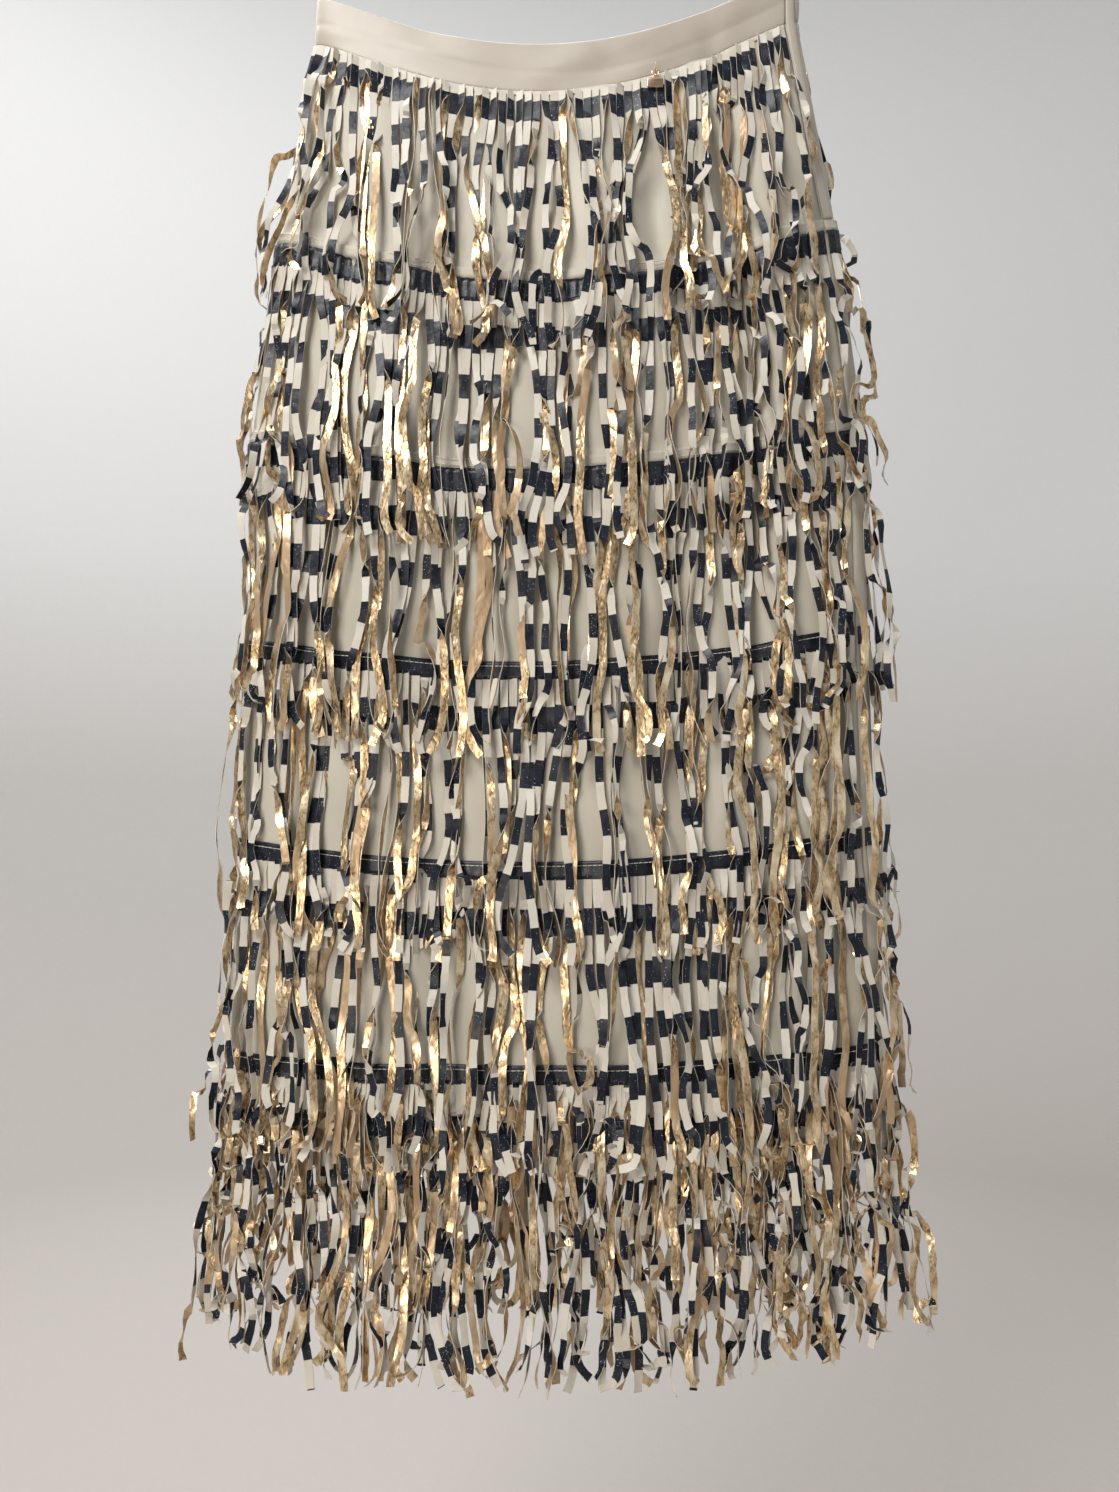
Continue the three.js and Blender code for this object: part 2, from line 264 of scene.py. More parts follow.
    def hip_line(self, side: Side) -> tuple[Array, Array]:
        """A panel's angles along the hip line, and the girth up to each of them.

        Args:
            side: The panel.

        Returns:
            The angles, and the girths in millimetres.
        """
        first, last = self.ends(side)
        steps = np.linspace(first, last, self.arc_steps)
        places = self.point(steps, np.full(self.arc_steps, self.hip_down), np.zeros(self.arc_steps))
        lengths = np.concatenate([[0.0], np.cumsum(np.hypot(*np.diff(places[:, :2], axis=0).T))])
        return steps, lengths

    def angles(self, side: Side, share: Array) -> Array:
        """The angles at shares of a panel's girth, evenly spaced along the hip line."""
        steps, lengths = self.hip_line(side)
        return np.interp(np.asarray(share) * lengths[-1], lengths, steps)

    def share_at(self, side: Side, angle: float) -> float:
        """The share of a panel's girth at an angle."""
        steps, lengths = self.hip_line(side)
        return float(np.interp(-angle, -steps, lengths) / lengths[-1])

    def girth(self, side: Side) -> float:
        """A panel's girth along the hip line, in millimetres."""
        return float(self.hip_line(side)[1][-1])


# ------------------------------------------------------------------ shader maths


class Wire:
    """A socket whose operators add Math nodes."""

    def __init__(self, dye: "Dye", socket: bpy.types.NodeSocket) -> None:
        """Keeps the socket and the material that it is in."""
        self.dye = dye
        self.socket = socket

    def __add__(self, other: Any) -> "Wire":
        """self + other."""
        return self.dye.maths("ADD", self, other)

    def __radd__(self, other: Any) -> "Wire":
        """other + self."""
        return self.dye.maths("ADD", other, self)

    def __sub__(self, other: Any) -> "Wire":
        """self - other."""
        return self.dye.maths("SUBTRACT", self, other)

    def __rsub__(self, other: Any) -> "Wire":
        """other - self."""
        return self.dye.maths("SUBTRACT", other, self)

    def __mul__(self, other: Any) -> "Wire":
        """self * other."""
        return self.dye.maths("MULTIPLY", self, other)

    def __rmul__(self, other: Any) -> "Wire":
        """other * self."""
        return self.dye.maths("MULTIPLY", other, self)

    def __lt__(self, other: Any) -> "Wire":
        """1 where self is less than other."""
        return self.dye.maths("LESS_THAN", self, other)

    def fraction(self) -> "Wire":
        """The part after the point."""
        return self.dye.maths("FRACT", self)

    def away_from(self, middle: float) -> "Wire":
        """The distance from a value."""
        return self.dye.maths("ABSOLUTE", self - middle)


class Dye:
    """One material under construction: its nodes, and the Principled shader that they feed."""

    def __init__(self, name: str) -> None:
        """Starts the material with a bare Principled shader.

        Args:
            name: The material's name.
        """
        self.material = bpy.data.materials.new(name)
        self.material.use_nodes = True
        self.tree = self.material.node_tree
        self.tree.nodes.clear()
        self.shader = self.tree.nodes.new("ShaderNodeBsdfPrincipled")
        output = self.tree.nodes.new("ShaderNodeOutputMaterial")
        self.tree.links.new(self.shader.outputs["BSDF"], output.inputs["Surface"])

    def node(self, kind: str, settings: dict[str, Any], inputs: dict[Any, Any]) -> bpy.types.Node:
        """Adds one node.

        Args:
            kind: The node's type.
            settings: Its properties, set first; "stops" are a ramp's places and colours.
            inputs: Values or wires by the name or number of their socket.

        Returns:
            The node.
        """
        made = self.tree.nodes.new(kind)
        for name, value in settings.items():
            if name == "stops":
                self.set_stops(made.color_ramp, value)
            else:
                setattr(made, name, value)
        for name, value in inputs.items():
            self.feed(made.inputs[name], value)
        return made

    @staticmethod
    def set_stops(ramp: bpy.types.ColorRamp, stops: list[tuple[float, tuple]]) -> None:
        """Gives a ramp its stops.

        Args:
            ramp: The ramp.
            stops: Places and colours.
        """
        while len(ramp.elements) < len(stops):
            ramp.elements.new(1.0)
        for element, (place, color) in zip(ramp.elements, stops):
            element.position = place
            element.color = (*color, 1.0)

    def feed(self, socket: bpy.types.NodeSocket, value: Any) -> None:
        """Links a wire to a socket, or sets its value.

        Args:
            socket: The socket.
            value: A wire or a value.
        """
        if isinstance(value, Wire):
            self.tree.links.new(value.socket, socket)
        else:
            socket.default_value = value

    def maths(self, operation: str, *values: Any) -> Wire:
        """A Math node on two values or fewer."""
        made = self.node("ShaderNodeMath", {"operation": operation}, dict(enumerate(values)))
        return Wire(self, made.outputs[0])

    def blend(self, share: Any, first: Any, second: Any) -> Wire:
        """Mixes two colours.

        Args:
            share: How much of the second, a wire or a number.
            first: A colour or a wire.
            second: A colour or a wire.

        Returns:
            The mixed colour.
        """
        colors = [value if isinstance(value, Wire) else (*value, 1.0) for value in (first, second)]
        inputs = {0: share, 6: colors[0], 7: colors[1]}
        made = self.node("ShaderNodeMix", {"data_type": "RGBA"}, inputs)
        return Wire(self, made.outputs[2])

    def ramp(self, value: Wire, stops: list[tuple[float, tuple]]) -> Wire:
        """Colours by a value's place between stops."""
        made = self.node("ShaderNodeValToRGB", {"stops": stops}, {0: value})
        return Wire(self, made.outputs["Color"])

    def band(self, value: Wire, low: float, high: float, start: float = 0.0, end: float = 1.0) -> Wire:
        """Maps a value from one range to another, held inside it.

        Args:
            value: The value.
            low: Where the range starts.
            high: Where the range ends.
            start: The result at low.
            end: The result at high.

        Returns:
            The mapped value.
        """
        inputs = {0: value, 1: low, 2: high, 3: start, 4: end}
        made = self.node("ShaderNodeMapRange", {"clamp": True}, inputs)
        return Wire(self, made.outputs[0])

    def places(self) -> Wire:
        """Object coordinates, in metres."""
        made = self.node("ShaderNodeTexCoord", {}, {})
        return Wire(self, made.outputs["Object"])

    def length_along(self) -> Wire:
        """The metres along a strand, from the piece's own map."""
        chart = Wire(self, self.node("ShaderNodeUVMap", {"uv_map": "UVMap"}, {}).outputs[0])
        return Wire(self, self.node("ShaderNodeSeparateXYZ", {}, {0: chart}).outputs[1])

    def attribute(self, name: str) -> Wire:
        """A number that the piece carries on its points."""
        made = self.node("ShaderNodeAttribute", {"attribute_name": name}, {})
        return Wire(self, made.outputs["Fac"])

    def noise(self, vector: Wire, scale: float, detail: float = 2.0, roughness: float = 0.5) -> Wire:
        """Soft noise.

        Args:
            vector: The coordinates.
            scale: Features for each unit.
            detail: Octaves.
            roughness: How strong the fine ones are.

        Returns:
            The noise, about 0.5.
        """
        inputs = {"Vector": vector, "Scale": scale, "Detail": detail, "Roughness": roughness}
        made = self.node("ShaderNodeTexNoise", {"noise_dimensions": "3D"}, inputs)
        return Wire(self, made.outputs[0])

    def stretch(self, vector: Wire, scale: tuple[float, float, float]) -> Wire:
        """Coordinates stretched along their axes."""
        made = self.node("ShaderNodeMapping", {}, {"Vector": vector, "Scale": scale})
        return Wire(self, made.outputs[0])

    def bump(self, height: Wire, distance: float, strength: float = 1.0) -> None:
        """Feeds the shader's Normal from a height, in metres for each unit.

        Args:
            height: The height.
            distance: Metres for each unit of it.
            strength: How strongly it shows.
        """
        inputs = {"Height": height, "Distance": distance, "Strength": strength}
        made = self.node("ShaderNodeBump", {}, inputs)
        self.feed(self.shader.inputs["Normal"], Wire(self, made.outputs[0]))

    def finish(self, **sockets: Any) -> Finish:
        """Sets the shader's sockets, by name with underscores for spaces, and hands over the material."""
        for name, value in sockets.items():
            self.feed(self.shader.inputs[name.replace("_", " ")], value)
        return self.material


# ------------------------------------------------------------------ finishes

CREAM = (0.635, 0.61, 0.55)
CREAM_WARM = (0.55, 0.505, 0.43)
NAVY = (0.0060, 0.0085, 0.0150)
NAVY_WORN = (0.0130, 0.0185, 0.0310)
# Pale dots painted into the navy as glints of its sparkling coating.
GLINT_FLECK = (0.42, 0.44, 0.48)
# Gold foil: a painted highlight, the mid gold, a painted crease shade and the dull tone.
GOLD_HIGHLIGHT = (0.93, 0.775, 0.55)
GOLD_MID = (0.64, 0.47, 0.28)
GOLD_CREASE_SHADE = (0.30, 0.19, 0.09)
GOLD_DULL = (0.44, 0.31, 0.19)


@dataclass(frozen=True)
class SatinFinish:
    """Smooth cream satin crepe of the waistband, with a fine weave."""

    name: str = "band_satin"
    color: tuple = (0.45, 0.405, 0.345)
    shade: tuple = (0.40, 0.355, 0.30)
    weave: float = 2600.0
    weave_stretch: float = 2.2
    mottle: float = 28.0
    depth: float = 0.00006
    roughness: float = 0.42

    def make(self) -> Finish:
        """Builds the material.

        Returns:
            The material.
        """
        dye = Dye(self.name)
        place = dye.places()
        cloud = dye.noise(place, self.mottle, 3.0)
        weave = dye.noise(dye.stretch(place, (1.0, 1.0, self.weave_stretch)), self.weave, 1.0)
        dye.bump(weave + cloud * 2.0, self.depth, 0.5)
        color = dye.blend(dye.band(cloud, 0.35, 0.65), self.color, self.shade)
        rough = dye.band(weave, 0.3, 0.7, self.roughness - 0.06, self.roughness + 0.08)
        return dye.finish(Base_Color=color, Roughness=rough, Sheen_Weight=0.15, Sheen_Roughness=0.4)


@dataclass(frozen=True)
class CrepeFinish:
    """Matte cream crepe of the base cloth."""

    name: str = "base_crepe"
    color: tuple = (0.53, 0.50, 0.425)
    shade: tuple = (0.45, 0.415, 0.345)
    grain: float = 1900.0
    grain_stretch: float = 0.45
    mottle: float = 16.0
    depth: float = 0.00012

    def make(self) -> Finish:
        """Builds the material.

        Returns:
            The material.
        """
        dye = Dye(self.name)
        place = dye.places()
        cloud = dye.noise(place, self.mottle, 1.0)
        grain = dye.noise(dye.stretch(place, (1.0, 1.0, self.grain_stretch)), self.grain, 1.0)
        dye.bump(grain, self.depth, 0.7)
        color = dye.blend(dye.band(cloud, 0.3, 0.7), self.color, self.shade)
        rough = dye.band(grain, 0.3, 0.7, 0.52, 0.68)
        return dye.finish(Base_Color=color, Roughness=rough, Sheen_Weight=0.2, Sheen_Roughness=0.5)


@dataclass(frozen=True)
class RibbonFinish:
    """The coated face of a strand, in even navy and cream stripes, with pale painted glints on the navy."""

    name: str
    offset: float
    period: float = 0.034
    navy_share: float = 0.485
    glint_flecks: float = 1400.0
    wear: float = 210.0
    depth: float = 0.00025

    def make(self) -> Finish:
        """Builds the material.

        Returns:
            The material.
        """
        dye = Dye(self.name)
        tone = dye.attribute("tone")
        place = dye.places()
        step = (dye.length_along() * (1.0 / self.period) + self.offset).fraction()
        navy = step < self.navy_share
        # Painted glints: pale dots on the navy, mostly on the strands of highest tone.
        glint_noise = dye.noise(place, self.glint_flecks, 0.0)
        glint_specks = dye.band(glint_noise + dye.band(tone, 0.78, 0.84) * 0.05, 0.80, 0.82)
        worn = dye.band(dye.noise(place, self.wear, 1.0), 0.35, 0.75)
        dark = dye.blend(glint_specks, dye.blend(worn, NAVY, NAVY_WORN), GLINT_FLECK)
        light = dye.blend(dye.band(tone, 0.0, 1.0), CREAM, CREAM_WARM)
        dye.bump(worn, self.depth, 0.6)
        return dye.finish(
            Base_Color=dye.blend(navy, light, dark),
            Roughness=dye.band(navy * (1.0 - worn * 0.5), 0.0, 1.0, 0.55, 0.33),
            Specular_IOR_Level=0.27,
        )


@dataclass(frozen=True)
class FoilFinish:
    """The gold foil back of a strand, crinkled, with painted shade along its creases and painted highlights
    between them, and dull and rose stretches.
    """

    name: str = "gold_foil"
    crinkle: float = 85.0
    fine_crinkle: float = 1190.0
    depth: float = 0.0020

    def make(self) -> Finish:
        """Builds the material.

        Returns:
            The material.
        """
        dye = Dye(self.name)
        tone = dye.attribute("tone")
        place = dye.places()
        folds = dye.noise(dye.stretch(place, (1.0, 1.0, 0.55)), self.crinkle, 2.0, 0.6).away_from(0.5)
        fine = dye.noise(dye.stretch(place, (1.0, 1.0, 0.4)), self.fine_crinkle, 0.0)
        rub = dye.noise(place, 16.0, 1.0)
        # Painted light on the crinkles: dark painted shade along the creases, through mid gold, to bright
        # painted highlights between them.
        stops = [(0.0, GOLD_CREASE_SHADE), (0.25, GOLD_MID), (0.7, GOLD_HIGHLIGHT), (1.0, GOLD_HIGHLIGHT)]
        foil = dye.ramp(dye.band(folds * 3.0 + fine * 0.4 - 0.1, 0.0, 0.9), stops)
        dull = dye.band(rub + tone * 0.22, 0.66, 0.8)
        color = dye.blend(dull, foil, GOLD_DULL)
        dye.bump(folds * 1.7 + fine * 0.05, self.depth, 0.7)
        return dye.finish(
            Base_Color=color,
            Metallic=0.92 - dull * 0.5,
            Roughness=dye.band(fine + dull * 0.5, 0.2, 1.1, 0.25, 0.54),
        )


@dataclass(frozen=True)
class HeaderFinish:
    """A tier's header strip: navy coated ribbon with pale painted glints, or cream tabs over the first tier."""

    name: str
    is_cream: bool = False
    glint_flecks: float = 1500.0
    wear: float = 240.0
    depth: float = 0.0003

    def make(self) -> Finish:
        """Builds the material.

        Returns:
            The material.
        """
        dye = Dye(self.name)
        place = dye.places()
        glint_noise = dye.noise(place, self.glint_flecks, 0.0)
        worn = dye.noise(place, self.wear, 2.0)
        dye.bump(worn, self.depth, 0.6)
        if self.is_cream:
            color = dye.blend(dye.band(worn, 0.35, 0.65), CREAM, CREAM_WARM)
            return dye.finish(Base_Color=color, Roughness=0.5)
        dark = dye.blend(dye.band(worn, 0.35, 0.75), NAVY, NAVY_WORN)
        # Painted glints: pale dots on the navy.
        color = dye.blend(dye.band(glint_noise, 0.79, 0.81), dark, GLINT_FLECK)
        rough = dye.band(worn, 0.3, 0.7, 0.28, 0.46)
        return dye.finish(Base_Color=color, Roughness=rough, Specular_IOR_Level=0.38)


@dataclass(frozen=True)
class ThreadFinish:
    """Sewing thread, tape and other small cream trim."""

    name: str
    color: tuple
    twist: float = 900.0
    roughness: float = 0.55
    depth: float = 0.00012

    def make(self) -> Finish:
        """Builds the material.

        Returns:
            The material.
        """
        dye = Dye(self.name)
        place = dye.places()
        twist = dye.noise(place, self.twist, 0.0)
        shade = tuple(part * 0.86 for part in self.color)
        dye.bump(twist, self.depth, 0.6)
        color = dye.blend(dye.band(twist, 0.3, 0.7), self.color, shade)
        return dye.finish(Base_Color=color, Roughness=self.roughness, Sheen_Weight=0.1)


@dataclass(frozen=True)
class CharmFinish:
    """Polished pale rose gold with fine handling marks."""

    name: str = "charm_rose_gold"
    color: tuple = (0.90, 0.66, 0.47)

    def make(self) -> Finish:
        """Builds the material.

        Returns:
            The material.
        """
        dye = Dye(self.name)
        place = dye.places()
        marks = dye.noise(dye.stretch(place, (1.0, 1.0, 6.0)), 900.0, 2.0)
        dye.bump(marks, 0.00002, 0.3)
        color = dye.blend(dye.band(marks, 0.3, 0.7), self.color, (0.84, 0.58, 0.39))
        rough = dye.band(marks, 0.3, 0.7, 0.16, 0.3)
        return dye.finish(Base_Color=color, Metallic=1.0, Roughness=rough)


@dataclass(frozen=True)
class StudioFinish:
    """The plain pale room, with painted shade: warmer and darker low down, and darker on its near side."""

    name: str = "studio_pale"
    color: tuple = (0.565, 0.565, 0.56)
    shade_low_color: tuple = (0.38, 0.345, 0.32)
    shade_near_color: tuple = (0.43, 0.43, 0.425)
    low: float = -1.9
    high: float = 0.2
    near: float = -1.6
    far: float = -0.4

    def make(self) -> Finish:
        """Builds the material.

        Returns:
            The material.
        """
        dye = Dye(self.name)
        place = dye.places()
        grain = dye.noise(place, 120.0, 2.0)
        dye.bump(grain, 0.0016, 0.35)
        split = dye.node("ShaderNodeSeparateXYZ", {}, {0: place})
        back, height = Wire(dye, split.outputs[1]), Wire(dye, split.outputs[2])
        # Painted shade: warmer and darker towards the floor, and darker on the near side of the room, which
        # also dims the light that it throws back.
        pale = dye.blend(dye.band(height, self.low, self.high), self.shade_low_color, self.color)
        color = dye.blend(dye.band(back, self.near, self.far), self.shade_near_color, pale)
        return dye.finish(Base_Color=color, Roughness=1.0, Specular_IOR_Level=0.0)


# ------------------------------------------------------------------ making pieces


def coordinates(mesh: Mesh) -> Array:
    """A mesh's points as an array.

    Args:
        mesh: The mesh.

    Returns:
        Its points, in metres.
    """
    flat = np.empty(len(mesh.vertices) * 3, np.float32)
    mesh.vertices.foreach_get("co", flat)
    return flat.reshape(-1, 3).astype(float)


def place_points(mesh: Mesh, points: Array) -> None:
    """Moves a mesh's points to an array of places, in metres."""
    mesh.vertices.foreach_set("co", points.astype(np.float32).ravel())
    mesh.update()


def mesh_from(shape: Shape, name: str) -> Mesh:
    """Turns a finished shape into a named mesh, and frees it.

    Args:
        shape: The shape.
        name: The mesh's name.

    Returns:
        The mesh.
    """
    mesh = bpy.data.meshes.new(name)
    shape.to_mesh(mesh)
    shape.free()
    return mesh


def face_corners(mesh: Mesh) -> tuple[Array, Array]:
    """The point numbers of a mesh's faces, face after face, and how many corners each face has.

    Args:
        mesh: The mesh.

    Returns:
        The point numbers, and the corner counts.
    """
    corners = np.empty(len(mesh.loops), np.int32)
    mesh.loops.foreach_get("vertex_index", corners)
    sizes = np.empty(len(mesh.polygons), np.int32)
    mesh.polygons.foreach_get("loop_total", sizes)
    return corners, sizes


def repeated_mesh(name: str, points: Array, corners: Array, sizes: Array) -> Mesh:
    """Many copies of a small closed mesh joined, each with places of its own.

    Args:
        name: The joined mesh's name.
        points: Places in metres, by copy and point.
        corners: One copy's face corners, from face_corners.
        sizes: Its faces' corner counts.

    Returns:
        The joined mesh.
    """
    count, size = points.shape[:2]
    every_corner = (corners[None, :] + size * np.arange(count)[:, None]).ravel()
    starts = np.concatenate([[0], np.cumsum(np.tile(sizes, count))[:-1]])
    mesh = bpy.data.meshes.new(name)
    mesh.vertices.add(count * size)
    mesh.vertices.foreach_set("co", points.astype(np.float32).ravel())
    mesh.loops.add(len(every_corner))
    mesh.loops.foreach_set("vertex_index", every_corner.astype(np.int32))
    mesh.polygons.add(len(starts))
    mesh.polygons.foreach_set("loop_start", starts.astype(np.int32))
    mesh.update(calc_edges=True)
    return mesh


def unit_grid(name: str, columns: int, rows: int) -> tuple[Mesh, Array, Array]:
    """A mapped grid, with each point's share across and down.

    Args:
        name: The mesh's name.
        columns: Cells across.
        rows: Cells down.

    Returns:
        The mesh, and each point's column and row number.
    """
    shape = bmesh.new()
    shape.loops.layers.uv.new("UVMap")
    bmesh.ops.create_grid(shape, x_segments=columns, y_segments=rows, size=0.5, calc_uvs=True)
    mesh = mesh_from(shape, name)
    points = coordinates(mesh)
    column = np.rint((points[:, 0] + 0.5) * columns).astype(int)
    row = np.rint((0.5 - points[:, 1]) * rows).astype(int)
    return mesh, column, row


def add_object(mesh: Mesh, *materials: Finish) -> Piece:
    """Puts a mesh in the scene, shaded smooth unless it has several finishes.

    Args:
        mesh: The mesh, whose name the object takes.
        *materials: Its finishes, in the order of its faces' numbers.

    Returns:
        The object, at the origin.
    """
    for material in materials:
        mesh.materials.append(material)
    if len(materials) == 1:
        mesh.polygons.foreach_set("use_smooth", [True] * len(mesh.polygons))
    made = bpy.data.objects.new(mesh.name, mesh)
    bpy.context.scene.collection.objects.link(made)
    return made


def wear(piece: Piece, slot: str, nodes: tuple[str, ...] = (), body: str = SKIRT_BODY) -> None:
    """Ties a piece to its body and hides the solids that it stands for.

    Args:
        piece: The finished piece.
        slot: The record's material slot; not used.
        nodes: The solids that it replaces.
        body: The body that it moves with.
    """
    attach(piece, body)
    if nodes:
        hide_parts(*nodes)
    LOG.info("%s: %d faces", piece.name, len(piece.data.polygons))


def lay_sheet(mesh: Mesh, points: Array, wall: float, material: Finish, slot: str, node: str) -> Piece:
    """Lays a grid as a sheet whose thickness is inside its face, and ties it.

    Args:
        mesh: The grid.
        points: Its points' places, in millimetres.
        wall: The sheet's thickness, in millimetres.
        material: Its finish.
        slot: The record's material slot.
        node: The solid that it replaces.

    Returns:
        The piece.
    """
    place_points(mesh, points * MM)
    piece = add_object(mesh, material)
    thick = piece.modifiers.new("wall", "SOLIDIFY")
    thick.thickness, thick.offset, thick.use_even_offset = wall * MM, -1.0, False
    wear(piece, slot, (node,))
    return piece


def spin_round(shape: Shape, axis: tuple[int, int, int], steps: int) -> None:
    """Spins a shape's outline once round an axis through the origin.

    Args:
        shape: The shape, an outline on one side of the axis.
        axis: The axis.
        steps: How many steps make the round.
    """
    bmesh.ops.spin(
        shape, geom=shape.verts[:] + shape.edges[:], cent=(0, 0, 0), axis=axis, angle=2 * math.pi,
        steps=steps, use_merge=True, use_duplicate=False,
    )


# ------------------------------------------------------------------ cloth


@dataclass
class BaseCloth:
    """The plain cream panels that carry the fringe, with a folded lip over the gathered tiers."""

    form: SkirtForm
    top: float = 34.0
    hem: float = 804.0
    columns: int = 116
    rows_between: int = 22
    wall: float = 0.7
    seam_share: float = 0.0004
    lips: tuple[float, ...] = (186.0, 328.0)
    lip_rise: float = 1.7
    lip_height: float = 9.0
    lip_edge: float = 0.5
    lip_climb: float = 1.6
    lip_rows: tuple[float, ...] = (0.8, 1.6, 3.5, 6.0)
    crease_depth: float = 1.6
    front_creases: tuple[Crease, ...] = (
        Crease(-128, 118, 150, 11, 2.6, 0.10),
        Crease(-96, 135, 120, 8, -2.0, 0.04),
        Crease(-52, 125, 140, 10, 1.8, -0.03),
        Crease(-18, 140, 95, 7, -1.6, 0.05),
        Crease(26, 120, 150, 12, 2.2, 0.02),
        Crease(64, 135, 110, 8, -2.0, -0.06),
        Crease(104, 105, 130, 9, 2.4, -0.10),
        Crease(138, 120, 120, 9, 2.6, -0.14),
        Crease(-150, 262, 110, 10, 2.2, 0.06),
        Crease(-70, 270, 100, 9, -2.2, 0.02),
        Crease(12, 262, 120, 11, 2.4, -0.03),
        Crease(92, 268, 90, 8, -1.8, -0.05),
        Crease(-120, 400, 110, 10, 2.2, 0.03),
        Crease(-10, 405, 100, 9, -2.0, 0.0),
        Crease(60, 398, 120, 10, 2.4, -0.04),
        Crease(-150, 535, 120, 12, 2.2, 0.02),
        Crease(-40, 540, 100, 9, -1.8, 0.03),
        Crease(110, 530, 120, 11, 2.4, -0.03),
        Crease(-90, 670, 130, 12, 2.4, 0.03),
        Crease(40, 672, 120, 10, -2.2, -0.02),
        Crease(150, 665, 110, 9, 2.0, -0.03),
    )
    back_creases: tuple[Crease, ...] = (
        Crease(-120, 122, 140, 11, 2.4, 0.08),
        Crease(-62, 130, 120, 8, -2.0, 0.03),
        Crease(4, 118, 150, 12, 2.2, 0.0),
        Crease(58, 132, 110, 8, -1.8, -0.04),
        Crease(122, 120, 130, 10, 2.6, -0.1),
        Crease(-110, 266, 110, 10, 2.2, 0.04),
        Crease(20, 262, 120, 10, -2.0, 0.0),
        Crease(118, 268, 100, 9, 2.2, -0.05),
        Crease(-60, 402, 110, 10, 2.2, 0.02),
        Crease(80, 398, 120, 11, -2.2, -0.02),
        Crease(-130, 536, 110, 10, 2.0, 0.03),
        Crease(20, 540, 120, 11, 2.4, 0.0),
        Crease(120, 670, 120, 10, 2.2, -0.03),
        Crease(-50, 668, 120, 11, -2.0, 0.02),
    )

    def levels(self) -> Array:
        """Lengths down for the rows, closer at each lip's edges.

        Returns:
            The lengths, in millimetres.
        """
        levels = [np.array([self.top])]
        for lip in self.lips:
            start = lip - self.lip_height
            levels.append(np.linspace(levels[-1][-1], start, self.rows_between)[1:])
            levels.append(start + np.array(self.lip_rows))
            levels.append(np.array([lip - self.lip_edge, lip, lip + self.lip_edge]))
        levels.append(np.linspace(levels[-1][-1], self.hem, 4 * self.rows_between)[1:])
        return np.concatenate(levels)

    def relief(self, side: Side, angle: Array, down: Array) -> Array:
        """How far creases and lips stand off the form.

        Args:
            side: The panel.
            angle: Angles of the points.
            down: Their lengths down.

        Returns:
            The rise, in millimetres.
        """
        across = self.form.column("half", down) * np.cos(angle)
        rise = np.zeros(down.shape)
        for crease in self.front_creases if side is Side.FRONT else self.back_creases:
            along = down - crease.down
            off = across - crease.across + along * math.tan(crease.slant)
            length = np.exp(-((along / (crease.length / 2)) ** 4))
            rise += self.crease_depth * crease.rise * np.exp(-((off / crease.width) ** 2)) * length
        for lip in self.lips:
            climbs = smooth(lip - self.lip_height, lip - self.lip_height + self.lip_climb, down)
            drops = smooth(lip - self.lip_edge, lip + self.lip_edge, down)
            rise += self.lip_rise * climbs * (1.0 - drops)
        return rise

    def build(self, side: Side, material: Finish) -> Piece:
        """One panel of cloth.

        Args:
            side: The panel.
            material: The crepe.

        Returns:
            The piece.
        """
        levels = self.levels()
        mesh, column, row = unit_grid(f"cloth_{side.value}", self.columns, len(levels) - 1)
        share = self.seam_share + (1.0 - 2.0 * self.seam_share) * column / self.columns
        angle = self.form.angles(side, share)
        down = levels[row]
        points = self.form.point(angle, down, self.relief(side, angle, down))
        return lay_sheet(mesh, points, self.wall, material, "base_cloth", f"skirt_{side.value}")


